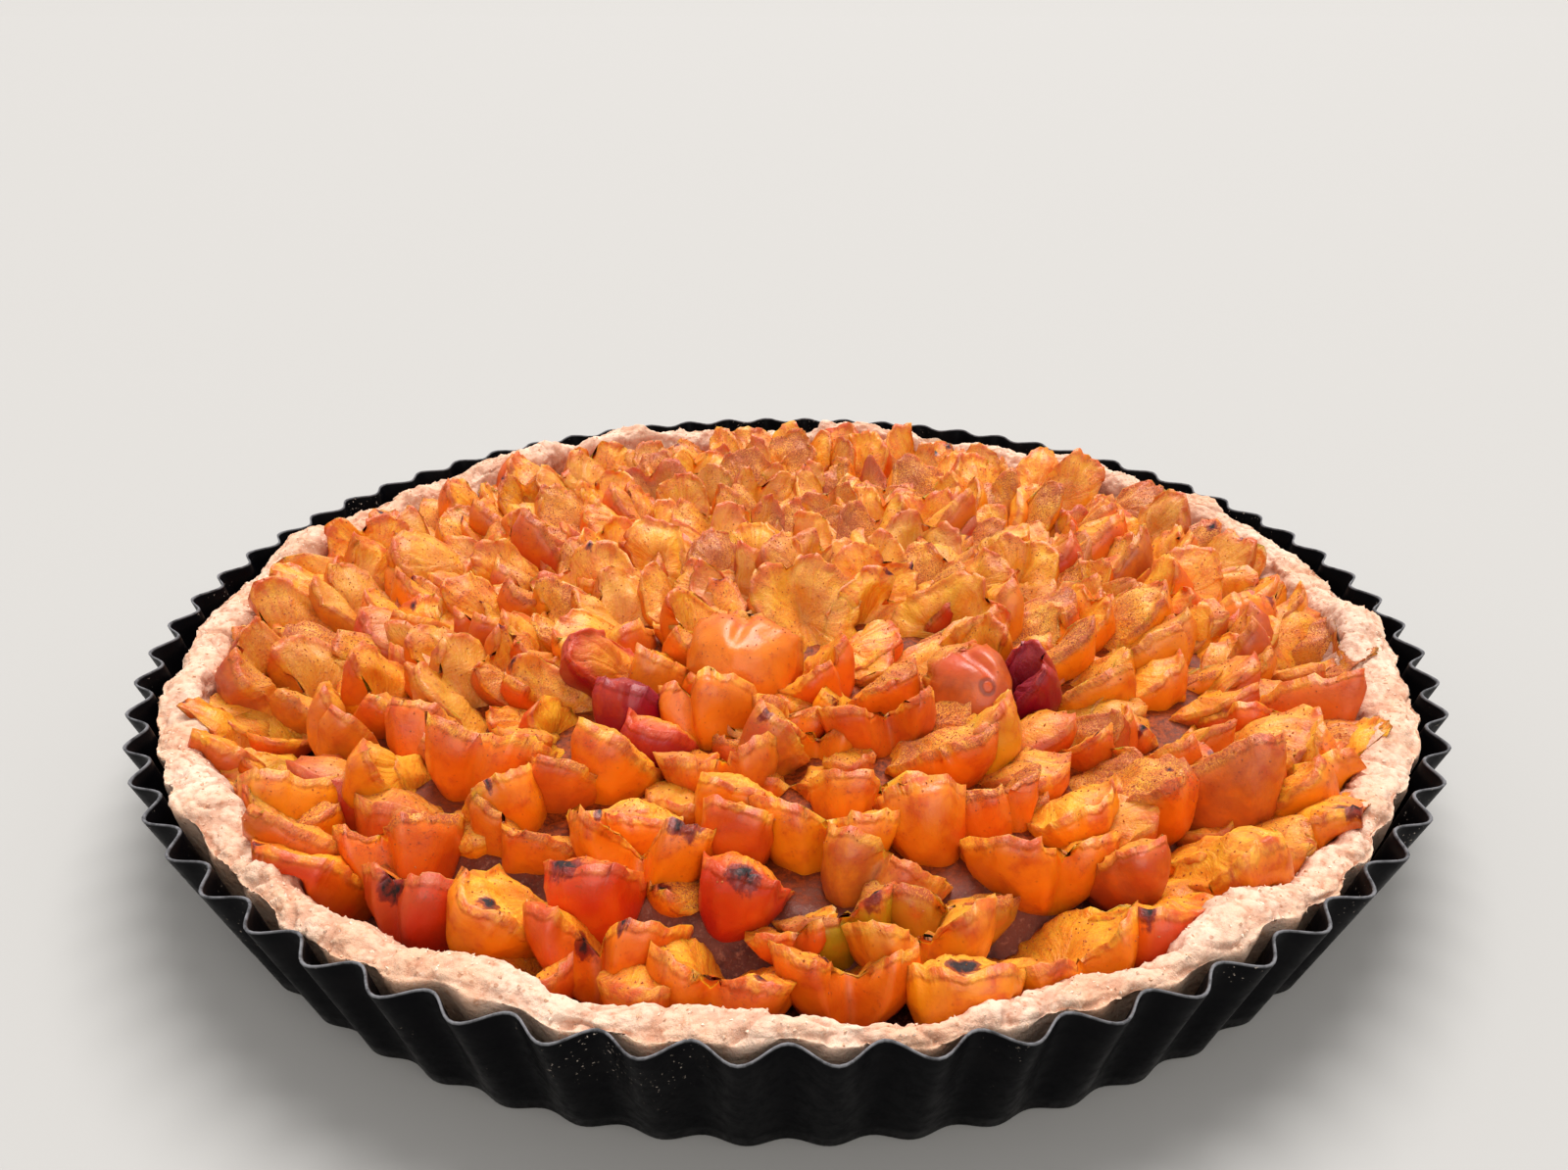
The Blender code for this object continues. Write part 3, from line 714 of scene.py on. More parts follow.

# Plums that stand out are listed one by one, and laid before the rows fill in round them.
Standout = namedtuple("Standout", "name x y lift length width notch turn rise roll")
STANDOUTS = (
    Standout("skin_up", -10 * MM, -29 * MM, 2 * MM, 25 * MM, 27 * MM, 0.03, 32, 124, 0),
    Standout("scarred_skin", 40 * MM, -41 * MM, 2 * MM, 23 * MM, 20 * MM, 0.03, -28, 118, 6),
    Standout("crimson_curl", 52 * MM, -41 * MM, 3 * MM, 23 * MM, 15 * MM, 0.03, 10, 60, 25),
    Standout("left_crimson", -42 * MM, -33 * MM, 2 * MM, 27 * MM, 14 * MM, 0.0, 0, 50, -35),
    Standout("small_crimson", -34 * MM, -45 * MM, 2 * MM, 23 * MM, 13 * MM, 0.0, 0, 46, 20),
    Standout("low_crimson", -27 * MM, -56 * MM, 1 * MM, 22 * MM, 14 * MM, 0.0, 0, 42, 0),
    Standout("big_left", -48 * MM, -68 * MM, 0, 27 * MM, 25 * MM, 0.2, 0, 42, 8),
    Standout("left_boat", -49 * MM, -86 * MM, 0, 26 * MM, 26 * MM, 0.12, 0, 40, -6),
    Standout("charred_notch", -26 * MM, -94 * MM, 0, 29 * MM, 28 * MM, 0.42, 0, 46, 10),
    Standout("big_mid", 7 * MM, -88 * MM, 0, 27 * MM, 29 * MM, 0.14, 0, 44, -6),
    Standout("big_right", 47 * MM, -95 * MM, 0, 28 * MM, 29 * MM, 0.16, 0, 42, -12),
    Standout("charred_red", -8 * MM, -103 * MM, 0, 26 * MM, 16 * MM, 0.0, 0, 46, -12),
    Standout("green", 9 * MM, -106 * MM, 0, 25 * MM, 23 * MM, 0.08, 12, 32, 16),
    Standout("olive", 28 * MM, -105 * MM, 0, 25 * MM, 25 * MM, 0.2, -8, 34, -10),
    Standout("red_charred", -34 * MM, -104 * MM, 0, 26 * MM, 16 * MM, 0.0, 0, 50, 15),
    Standout("dark_scarred", -64 * MM, -104 * MM, 0, 26 * MM, 22 * MM, 0.06, 0, 44, 12),
    Standout("left_scarred", -49 * MM, -110 * MM, 0, 28 * MM, 17 * MM, 0.0, 0, 44, -20),
    Standout("pink_notched", -31 * MM, -116 * MM, 0, 28 * MM, 26 * MM, 0.42, 0, 44, 6),
    Standout("notched", 10 * MM, -122 * MM, 0, 27 * MM, 25 * MM, 0.36, 0, 42, 0),
    Standout("boat", -11 * MM, -123 * MM, 0, 27 * MM, 27 * MM, 0.1, 0, 36, -10),
    Standout("right_notched", 46 * MM, -119 * MM, 0, 27 * MM, 26 * MM, 0.28, 0, 38, 12),
    Standout("right_red", 62 * MM, -112 * MM, 0, 26 * MM, 18 * MM, 0.0, 0, 44, -10),
    Standout("left_red", -86 * MM, -98 * MM, 0, 28 * MM, 18 * MM, 0.0, 0, 44, 15),
    Standout("tip_scarred", 28 * MM, -127 * MM, 0, 25 * MM, 18 * MM, 0.0, 0, 50, -8),
    Standout("dark_tipped", 100 * MM, -85 * MM, 0, 27 * MM, 18 * MM, 0.0, 0, 42, -18),
)
STANDOUT_MIDDLE = 0.6
STANDOUT_ROOM = 12 * MM
STANDOUT_FOLD = 0.2
STANDOUT_CURL = 0.1

# How each of them looks, from 0 to 1: golden rather than orange, red or crimson skin, green skin, brown skin,
# and cinnamon. Then its charred spots: a share of half the width, a share of the length, and a radius in mm.
Look = namedtuple("Look", "golden blush green brown dust spots")
LOOKS = {
    "skin_up": Look(0.5, 0.15, 0.0, 0.2, 0.5, ()),
    "scarred_skin": Look(0.1, 0.35, 0.0, 0.7, 0.1, ()),
    "crimson_curl": Look(0.0, 1.0, 0.0, 0.0, 0.0, ()),
    "left_crimson": Look(0.0, 0.85, 0.0, 0.1, 0.2, ()),
    "small_crimson": Look(0.0, 1.0, 0.0, 0.0, 0.1, ()),
    "low_crimson": Look(0.0, 0.85, 0.0, 0.0, 0.2, ()),
    "big_left": Look(0.2, 0.0, 0.0, 0.35, 1.0, ()),
    "left_boat": Look(0.5, 0.1, 0.0, 0.25, 0.9, ()),
    "charred_notch": Look(0.5, 0.2, 0.0, 0.0, 0.5, ((-0.75, 0.9, 4.0), (-0.3, 0.72, 2.4))),
    "big_mid": Look(0.8, 0.0, 0.0, 0.1, 0.5, ()),
    "big_right": Look(0.5, 0.1, 0.0, 0.1, 0.4, ((0.85, 0.72, 2.0),)),
    "charred_red": Look(0.0, 0.7, 0.0, 0.0, 0.2, ((-0.2, 1.0, 4.4),)),
    "green": Look(0.8, 0.0, 1.0, 0.2, 0.9, ((-0.4, 0.96, 1.8),)),
    "olive": Look(0.5, 0.0, 0.5, 0.8, 1.4, ((0.2, 0.7, 1.6),)),
    "red_charred": Look(0.0, 0.6, 0.0, 0.0, 0.4, ((0.3, 0.95, 3.4),)),
    "dark_scarred": Look(0.0, 0.55, 0.0, 0.6, 0.6, ((0.0, 0.88, 3.6),)),
    "left_scarred": Look(0.6, 0.1, 0.0, 0.0, 0.3, ((-0.3, 0.86, 2.6),)),
    "pink_notched": Look(0.2, 0.45, 0.0, 0.0, 0.2, ((0.05, 0.66, 2.8), (-0.6, 0.98, 1.5))),
    "notched": Look(0.2, 0.3, 0.0, 0.1, 0.6, ((0.3, 0.78, 1.6),)),
    "boat": Look(0.4, 0.2, 0.0, 0.0, 0.5, ((-0.6, 0.92, 1.4),)),
    "right_notched": Look(0.7, 0.2, 0.0, 0.0, 0.4, ((0.8, 0.8, 1.2),)),
    "right_red": Look(0.0, 0.55, 0.0, 0.0, 0.3, ((0.7, 0.9, 1.6),)),
    "left_red": Look(0.0, 0.5, 0.0, 0.0, 0.2, ((0.2, 0.98, 1.5),)),
    "tip_scarred": Look(0.9, 0.0, 0.0, 0.0, 0.3, ((0.1, 0.9, 2.8),)),
    "dark_tipped": Look(0.6, 0.1, 0.0, 0.0, 0.4, ((0.2, 0.97, 3.2),)),
}

# Where a round stem scar shows on the skin: a share of half the width and a share of the length.
STEM_SCARS = {"scarred_skin": (0.15, 0.6)}
NO_SCAR = 9.0

# The looks of the other plums are drawn on the same scales. Those nearer the viewer are charred more often.
FRONT = (-20 * MM, -110 * MM)
CHARRED_SHARE = 0.10
CHARRED_MORE_IN_FRONT = 0.28
SPOT_PLACES = ((0.4, 0.8), (0.88, 1.0), (0.8, 1.8))
GOLDEN_POWER = 1.3
BLUSH_POWER = 5
MOST_BLUSH = 0.7
GREENISH_SHARE = 0.04
GREENISH = 0.35
MOST_BROWN = 0.8
DUSTY_SHARE = 0.3
MUCH_DUST = (0.8, 1.6)
LITTLE_DUST = (0.15, 0.7)

Plum = namedtuple("Plum", "name place heading rise roll length width depth notch fold curl")


def off_centre(radius):
    """How far a place is from the outer row, 0, to the heart, 1."""
    return max(0.0, 1 - radius / OUTER_ROW_RADIUS)


def lay_standout(standout):
    """A plum from the list. Unless it is turned, it leans away from the heart like the others."""
    outward = math.atan2(standout.y - HEART_PLACE[1], standout.x - HEART_PLACE[0])
    heading = outward + math.radians(standout.turn)
    rise = math.radians(standout.rise)
    back = STANDOUT_MIDDLE * standout.length * math.cos(rise)
    x = standout.x - back * math.cos(heading)
    y = standout.y - back * math.sin(heading)
    radius = math.hypot(x - HEART_PLACE[0], y - HEART_PLACE[1])
    return Plum(
        name=standout.name,
        place=Vector((x, y, pastry_floor() + JUICE_DEPTH + HEART_RISE * off_centre(radius) + standout.lift)),
        heading=heading,
        rise=rise,
        roll=math.radians(standout.roll),
        length=standout.length,
        width=standout.width,
        depth=PLUM_DEPTH,
        notch=standout.notch,
        fold=STANDOUT_FOLD,
        curl=STANDOUT_CURL,
    )


def lay_plum(draw, angle, radius):
    """A plum with its foot at a radius and an angle round the middle, which moves to the heart further in.

    It leans as far as brings its tip to a height that is drawn for it.
    """
    centring = off_centre(radius)
    place = Vector((
        HEART_PLACE[0] * centring + radius * math.cos(angle),
        HEART_PLACE[1] * centring + radius * math.sin(angle),
        pastry_floor() + JUICE_DEPTH + HEART_RISE * centring + draw.uniform(*FOOT_HEIGHTS),
    ))
    halved = draw.random() < HALVED_SHARE
    size = draw.uniform(*PLUM_SIZES)
    length = PLUM_LENGTH * size * draw.uniform(*PLUM_LENGTHS)
    straying = HEADING_SPREAD + (HEART_HEADING_SPREAD - HEADING_SPREAD) * centring ** 2
    return Plum(
        name="",
        place=place,
        heading=angle + draw.gauss(0, straying),
        rise=math.asin(min(STEEPEST, (draw.uniform(*TIP_HEIGHTS) - place.z) / length)),
        roll=draw.gauss(0, ROLL_SPREAD),
        length=length,
        width=PLUM_WIDTH * size * (1.0 if halved else draw.uniform(*QUARTER_WIDTHS)),
        depth=PLUM_DEPTH * size * draw.uniform(*PLUM_DEPTHS),
        notch=draw.uniform(*NOTCHES) if halved else 0.0,
        fold=draw.uniform(*FOLDS),
        curl=draw.uniform(*CURLS),
    )


def middle_of(plum):
    outward = Vector((math.cos(plum.heading), math.sin(plum.heading), 0))
    along = outward * math.cos(plum.rise) + Vector((0, 0, 1)) * math.sin(plum.rise)
    return plum.place + along * plum.length / 2


def has_room(plum, others, room):
    middle = middle_of(plum)
    return all((middle - middle_of(other)).length > room for other in others)


def lay_plums():
    """Every plum: those listed one by one, rows from the rim inwards, some in the gaps left, and a loose
    heart.
    """
    draw = random.Random(LAYOUT_SEED)
    standouts = [lay_standout(standout) for standout in STANDOUTS]
    plums = list(standouts)
    radius = OUTER_ROW_RADIUS
    while radius > 0:
        count = max(1, round(2 * math.pi * radius / PLUM_PITCH))
        start = draw.uniform(0, 2 * math.pi)
        for i in range(count):
            angle = start + 2 * math.pi * (i + draw.uniform(-PITCH_STRAY, PITCH_STRAY)) / count
            plum = lay_plum(draw, angle, radius + draw.uniform(-ROW_STRAY, ROW_STRAY))
            if has_room(plum, standouts, STANDOUT_ROOM):
                plums.append(plum)
        radius -= ROW_PITCH
    for i in range(HEART_PLUMS):
        angle = 2 * math.pi * i / HEART_PLUMS
        loose = lay_plum(draw, angle, draw.uniform(*HEART_REACH))._replace(
            heading=math.radians(draw.uniform(*HEART_HEADINGS)), rise=math.radians(draw.uniform(*HEART_TILT)))
        if has_room(loose, plums, HEART_ROOM):
            plums.append(loose)
    radius = OUTER_ROW_RADIUS
    while radius > 0:
        count = round(2 * math.pi * radius / GAP_STEP)
        for i in range(count):
            plum = lay_plum(draw, 2 * math.pi * i / count, radius)
            if has_room(plum, plums, GAP_ROOM):
                plums.append(plum)
        radius -= GAP_STEP
    return plums


def clear_of(plum, others, room):
    """Whether a plum's middle, seen from above, lies clear of the line from foot to tip of all the others."""
    middle = middle_of(plum).xy
    for other in others:
        foot = other.place.xy
        line = 2 * (middle_of(other).xy - foot)
        share = min(max((middle - foot).dot(line) / line.length_squared, 0.0), 1.0)
        if (middle - foot - line * share).length < room:
            return False
    return True


def lay_tucked(plums):
    """Small slices pushed into the gaps that the others leave. They lie low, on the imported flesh."""
    draw = random.Random(TUCKED_SEED)
    standouts = [plum for plum in plums if plum.name]
    tucked = []
    radius = OUTER_ROW_RADIUS + TUCKED_STEP
    while radius > 0:
        count = round(2 * math.pi * radius / TUCKED_STEP)
        for i in range(count):
            plum = lay_plum(draw, 2 * math.pi * i / count, radius)
            size = draw.uniform(*TUCKED_SIZES)
            length = plum.length * size
            place = plum.place + Vector((0, 0, TUCKED_LIFT))
            plum = plum._replace(
                place=place, length=length, width=plum.width * size, depth=plum.depth * size,
                heading=plum.heading + draw.gauss(0, TUCKED_SPREAD),
                rise=math.asin(min(STEEPEST, (draw.uniform(*TUCKED_TIPS) - place.z) / length)))
            if (clear_of(plum, plums + tucked, TUCKED_ROOM)
                    and clear_of(plum, standouts, TUCKED_ROOM_BY_STANDOUTS)):
                tucked.append(plum)
        radius -= TUCKED_STEP
    return tucked


def frame_of(plum):
    """Turns a plum's own axes, across, along and out of its flesh, into the tart's."""
    outward = Vector((math.cos(plum.heading), math.sin(plum.heading), 0))
    up = Vector((0, 0, 1))
    along = outward * math.cos(plum.rise) + up * math.sin(plum.rise)
    flesh = up * math.cos(plum.rise) - outward * math.sin(plum.rise)
    across = along.cross(flesh)
    axes = Matrix((across, along, flesh)).transposed().to_4x4()
    return Matrix.Translation(plum.place) @ axes @ Matrix.Rotation(plum.roll, 4, "Y")


def plum_rim(plum, columns, draw):
    """The edge of the cut face, closed, from the stem end round."""
    theta = np.linspace(-math.pi, math.pi, columns, endpoint=False)
    sine, cosine = np.sin(theta), np.cos(theta)

    def uneven(most, count):
        return draw.uniform(-most, most) * np.sin(count * theta + draw.uniform(0, 2 * math.pi))

    across = np.sign(sine) * np.abs(sine) ** SIDE_POWER
    along = 0.5 + 0.5 * np.where(cosine > 0, np.abs(cosine) ** TIP_POWER, -np.abs(cosine) ** STEM_POWER)
    off_middle = draw.uniform(-NOTCH_STRAY, NOTCH_STRAY)
    near_notch = np.clip(1 - np.abs(across - off_middle) / NOTCH_SPREAD, 0, 1)
    along = along - plum.notch * (near_notch ** NOTCH_POWER * (cosine > 0))
    along = along * (1 + draw.uniform(-TIP_SLANT, TIP_SLANT) * across * (cosine > 0))
    for count in UNEVEN_COUNTS:
        along = along + uneven(UNEVEN_ALONG, count)
        across = across + uneven(UNEVEN_ACROSS, count)
    across = across * (STEM_WIDTHS[0] + STEM_WIDTHS[1] * step(0.0, 0.5, along))
    return theta, across, along


def cut_face(plum, across, along, reach):
    """Height of the flesh above the cut: a stone's hollow in a half, and a ridge along a quarter."""
    depth = plum.depth
    lip = LIP_HEIGHT * depth * np.exp(-((1 - reach) / LIP_WIDTH) ** 2)
    if plum.notch:
        off_stone = (across / STONE_SPREAD[0]) ** 2 + ((along - STONE_PLACE) / STONE_SPREAD[1]) ** 2
        hollow = -STONE_DEPTH * depth * np.exp(-off_stone)
        flanks = FLANK_HEIGHT * depth * np.sin(math.pi * np.clip(np.abs(across), 0, 1)) * (1 - reach ** 4)
        return hollow + flanks + lip
    sides = 1 - np.abs(across) ** QUARTER_POWERS[0]
    ends = 1 - np.abs(2 * along - 1) ** QUARTER_POWERS[1]
    off_dip = ((along - 0.5) / DIP_SPREAD[1]) ** 2 + (across / DIP_SPREAD[0]) ** 2
    dip = -DIP_DEPTH * depth * np.exp(-off_dip)
    return (QUARTER_RIDGE * depth * sides * ends + dip) * (1 - reach ** 8) + lip


def skin_face(plum, across, along, reach):
    """Depth of the skin below the cut, with a crease that runs down from the notch of a half."""
    rounded = np.clip(1 - reach ** SKIN_POWERS[0], 0, 1) ** SKIN_POWERS[1]
    full = SKIN_FULLNESS[0] + SKIN_FULLNESS[1] * np.sin(math.pi * np.clip(along, 0, 1))
    below = -plum.depth * SKIN_THICKEN * (rounded * full)
    if plum.notch:
        crease = CREASE_HEIGHT * plum.depth * np.exp(-(across / CREASE_WIDTH) ** 2)
        below = below + crease * step(CREASE_ENDS[0], CREASE_ENDS[1] - plum.notch / 2, along)
    return below


def bent(plum, across, along, out):
    """Points of the plum in metres: its sides fold up round the cut face, and its tip curls."""
    from_start = along - CURL_START
    fold = plum.fold * np.abs(across) ** FOLD_POWER * plum.width / 2
    curl = plum.curl * np.sign(from_start) * from_start ** 2 * plum.length / 2
    return np.stack([across * plum.width / 2, along * plum.length, out + fold + curl], axis=-1)


def plum_faces(columns, rings):
    """Faces of one plum. Both sides are fans and rings round a middle point, and share the rim."""
    skin_start = 1 + rings * columns

    def flesh_at(ring, column):
        return 1 + ring * columns + column % columns

    def skin_at(ring, column):
        if ring == rings - 1:
            return flesh_at(ring, column)
        return skin_start + 1 + ring * columns + column % columns

    fans, bands = [], []
    for j in range(columns):
        fans.append((0, flesh_at(0, j + 1), flesh_at(0, j)))
        fans.append((skin_start, skin_at(0, j), skin_at(0, j + 1)))
        for low in range(rings - 1):
            high = low + 1
            bands.append((flesh_at(low, j), flesh_at(low, j + 1), flesh_at(high, j + 1), flesh_at(high, j)))
            bands.append((skin_at(low, j + 1), skin_at(low, j), skin_at(high, j), skin_at(high, j + 1)))
    return np.array(fans), np.array(bands)


def plum_points(plum, columns, rings, draw):
    """Points of one plum in its own axes, and what the finish needs to know at each."""
    theta, rim_across, rim_along = plum_rim(plum, columns, draw)
    reach = (np.arange(1, rings + 1) / rings)[:, None] ** RING_POWER
    across = reach * rim_across
    along = PLUM_MIDDLE + reach * (rim_along - PLUM_MIDDLE)
    reach = np.broadcast_to(reach, across.shape)
    turn = np.broadcast_to(theta, across.shape)
    middle = np.zeros(1)

    ridged = sum(np.sin(number * turn + draw.uniform(0, 2 * math.pi)) for number in RIDGE_COUNTS)
    ridged = RIDGE_HEIGHT * ridged * reach * (1 - reach ** 6)

    def side(count, height_of):
        a = np.concatenate([middle, across[:count].ravel()])
        b = np.concatenate([middle + PLUM_MIDDLE, along[:count].ravel()])
        r = np.concatenate([middle, reach[:count].ravel()])
        t = np.concatenate([middle, turn[:count].ravel()])
        return bent(plum, a, b, height_of(plum, a, b, r)), a, b, r, t

    flesh = side(rings, cut_face)
    flesh[0][1:, 2] += ridged.ravel()
    skin = side(rings - 1, skin_face)
    points, a, b, r, t = (np.concatenate(pair) for pair in zip(flesh, skin))
    is_skin = np.concatenate([np.zeros(len(flesh[1])), np.ones(len(skin[1]))])
    return points, a, b, r, t, is_skin


def roughened(points, reach, is_skin, draw):
    """Moves a plum's points as baking does: wrinkles and dents, fibres on the flesh, a ragged cut edge."""
    shift = Vector([draw.uniform(0, PATTERN_SPAN) for _ in range(3)])
    moved = np.empty_like(points)
    for i, point in enumerate(points):
        spot = Vector(point)
        at_edge = max(0.0, (reach[i] - RAGGED_FROM) / RAGGED_WIDTH)
        moves = (
            (WRINKLE_SIZE, WRINKLE_HEIGHT * (1 - SMOOTHER_SKIN * is_skin[i])),
            (DENT_SIZE, DENT_HEIGHT),
            (FIBRE_SIZE, FIBRE_HEIGHT * (1 - FEWER_FIBRES * is_skin[i])),
            (RAGGED_SIZE, RAGGED_HEIGHT * at_edge * (1 - LESS_RAGGED * is_skin[i])),
        )
        place = spot
        for size, height in moves:
            place = place + noise.noise_vector(spot / size + shift) * height
        moved[i] = place
    return moved


def baked_plum():
    finish, tree, shader, _ = new_finish("baked_yellow_plum")
    own, streak = (attribute(tree, name, "Vector") for name in ("own_place", "streak"))
    reach, along, golden, blush, green, brown, char, dust, scar = (attribute(tree, name) for name in (
        "reach", "along", "golden", "blush", "green", "brown", "char", "dust", "scar"))
    is_skin = eased(tree, attribute(tree, "skin"), 0.25, 0.65)
    broad = clouds(tree, own, 70, 3)
    mottle = clouds(tree, own, 260, 4, 0.6)
    speck = clouds(tree, own, 1500, 3, 0.65)
    fibre = clouds(tree, streak, 9.0, 4, 0.6)

    # The skin: orange to golden, with pores, brown and green patches and a red blush.
    warm = mixed(tree, eased(tree, broad, 0.32, 0.68), seen(238, 110, 8), seen(216, 76, 8))
    toned = mixed(tree, golden, warm, seen(250, 152, 10))
    deep = mixed(tree, eased(tree, mottle, 0.50, 0.75, 0.0, 0.5), toned, seen(200, 66, 14))
    pores = times(tree, eased(tree, cells(tree, own, 520), 0.16, 0.07), 0.4)
    pored = mixed(tree, pores, deep, seen(170, 70, 20))
    browning = times(tree, brown, eased(tree, mottle, 0.25, 0.6, 0.5, 1.0))
    browned = mixed(tree, browning, pored, seen(164, 78, 40))
    greening = times(tree, green, eased(tree, broad, 0.25, 0.6, 0.5, 1.0))
    greened = mixed(tree, greening, browned, seen(164, 146, 22))
    reddening = math_of(tree, "ADD", times(tree, broad, 0.7), times(tree, blush, 0.95))
    blushing = eased(tree, reddening, 0.62, 1.12)
    red = mixed(tree, eased(tree, blush, 0.55, 0.95), seen(206, 44, 10), seen(150, 10, 34))
    skin = mixed(tree, blushing, greened, red)

    # The cut flesh: yellow pulp with fibres, darker where the stone was, and dry along its edge.
    pulp = math_of(tree, "ADD", times(tree, fibre, 0.45), times(tree, mottle, 0.55))
    sweet = mixed(tree, eased(tree, pulp, 0.38, 0.62), seen(255, 180, 40), seen(240, 124, 14))
    pale = mixed(tree, times(tree, golden, 0.5), sweet, seen(255, 194, 62))
    sunk = mixed(tree, eased(tree, reach, 0.66, 0.12, 0.0, 0.5), pale, seen(216, 112, 20))
    dulling = times(tree, math_of(tree, "MAXIMUM", brown, green), 0.6)
    dull = mixed(tree, dulling, sunk, seen(186, 120, 48))
    drying = times(tree, eased(tree, reach, 0.80, 1.0), eased(tree, mottle, 0.35, 0.65, 0.1, 0.7))
    dried = mixed(tree, drying, dull, seen(196, 84, 28))
    flushing = times(tree, blushing, eased(tree, reach, 0.5, 1.0, 0.2, 0.9))
    flushed = mixed(tree, flushing, dried, seen(190, 44, 30))
    flesh = mixed(tree, eased(tree, blush, 0.86, 0.98), flushed, seen(140, 26, 46))
    bare = mixed(tree, is_skin, flesh, skin)

    # What lies on both: singed tips, and on what faces up a powder of cinnamon and clumps of it.
    tips = times(tree, eased(tree, along, 0.70, 1.02), eased(tree, mottle, 0.35, 0.7, 0.1, 0.7))
    singed = mixed(tree, tips, bare, seen(208, 66, 12))
    normal = add(tree, "ShaderNodeNewGeometry").outputs["Normal"]
    upward = add(tree, "ShaderNodeSeparateXYZ", {0: normal}).outputs["Z"]
    lying = times(tree, eased(tree, upward, 0.05, 0.8), eased(tree, is_skin, 0.0, 1.0, 1.0, 0.3))
    fine = clouds(tree, own, 3200, 3, 0.7)
    scattered = eased(tree, math_of(tree, "ADD", fine, times(tree, broad, 0.5)), 0.58, 0.92)
    powder = times(tree, lying, times(tree, dust, eased(tree, scattered, 0.0, 1.0, 0.06, 0.85)))
    dusted = mixed(tree, powder, singed, seen(166, 82, 40))
    clumps = times(tree, eased(tree, clouds(tree, own, 1500, 3, 0.7), 0.54, 0.66),
                   eased(tree, clouds(tree, own, 260, 3), 0.44, 0.62))
    speckled = times(tree, times(tree, clumps, eased(tree, upward, -0.15, 0.6)),
                     eased(tree, dust, 0.1, 0.9, 0.3, 0.9))
    spiced = mixed(tree, speckled, dusted, seen(150, 66, 32))

    # The charred spots, red round a black middle, and the ring of a stem scar.
    uneven = times(tree, math_of(tree, "SUBTRACT", clouds(tree, own, 420, 4, 0.65), 0.5), 1.7)
    scorch = math_of(tree, "ADD", char, uneven)
    scorched = times(tree, eased(tree, char, 0.0, 0.25), eased(tree, scorch, 0.15, 0.5, 0.0, 0.9))
    reddened = mixed(tree, scorched, spiced, seen(122, 24, 18))
    burnt = times(tree, eased(tree, char, 0.25, 0.5), eased(tree, scorch, 0.55, 0.95))
    charred = mixed(tree, burnt, reddened, seen(20, 9, 14))
    ring = times(tree, eased(tree, scar, 0.9, 1.4), eased(tree, scar, 2.4, 1.7))

    # The surface: satin where it is bare, matt under powder and char, with its fibres and grain raised.
    matt = math_of(tree, "MAXIMUM", powder, times(tree, burnt, 0.5))
    satin = mixed(tree, is_skin, (0.40, 0.40, 0.40, 1), (0.36, 0.36, 0.36, 1))
    flesh_only = eased(tree, is_skin, 0.0, 1.0, 1.0, 0.15)
    ribbed = raised(tree, times(tree, pulp, flesh_only), 0.8, 0.8 * MM)
    grain = raised(tree, times(tree, speck, flesh_only), 0.7, 0.25 * MM, ribbed)
    dents = math_of(tree, "SUBTRACT", mottle, times(tree, ring, 0.8))
    fill(tree, shader, {
        "Base Color": mixed(tree, times(tree, ring, 0.7), charred, seen(112, 46, 34)),
        "Roughness": mixed(tree, matt, satin, (0.85, 0.85, 0.85, 1)),
        "Normal": raised(tree, dents, 0.35, 0.5 * MM, grain),
        "Subsurface Weight": 0.3, "Subsurface Radius": (1.0, 0.34, 0.06), "Subsurface Scale": 2.8 * MM,
        "Specular IOR Level": 0.42, "Coat Weight": 0.1, "Coat Roughness": 0.2})
    return finish


def held_in(points):
    """Presses points that would run into the pastry's rim back against it, and the highest tips down."""
    radius = np.hypot(points[:, 0], points[:, 1])
    lines = rim_lines(np.arctan2(points[:, 1], points[:, 0]), CLEARANCE)
    over = step(0, 1, (points[:, 2] - lines["shoulder"][1]) / SHOULDER_DROP)
    allowed = lines["shoulder"][0] + (lines["crest"][0] + REACH_OVER_RIM - lines["shoulder"][0]) * over
    pressed = points.copy()
    pressed[:, :2] *= np.minimum(1, allowed / np.maximum(radius, 1e-9))[:, None]
    too_high = np.maximum(0, pressed[:, 2] - HIGHEST_TIP)
    pressed[:, 2] -= PRESSED_DOWN * too_high
    return pressed


def chance_look(plum, draw):
    """The look of a plum that isn't one of the named ones."""
    front = step(*FRONT, plum.place.y)
    spots = []
    if draw.random() < CHARRED_SHARE + CHARRED_MORE_IN_FRONT * front:
        side = draw.choice((-1, 1)) if plum.notch else 0
        across, along, radius = (draw.uniform(*ends) for ends in SPOT_PLACES)
        spots.append((side * across, along, radius))
    return Look(
        golden=draw.random() ** GOLDEN_POWER,
        blush=draw.random() ** BLUSH_POWER * MOST_BLUSH,
        green=GREENISH * (draw.random() < GREENISH_SHARE),
        brown=draw.random() ** 2 * MOST_BROWN,
        dust=draw.uniform(*MUCH_DUST) if draw.random() < DUSTY_SHARE else draw.uniform(*LITTLE_DUST),
        spots=spots,
    )


def away_from(spot_across, spot_along, plum, across, along):
    """How far the points of a plum lie from a spot on it, given in shares, as seen square to its cut face."""
    return np.hypot((across - spot_across) * plum.width / 2, (along - spot_along) * plum.length)


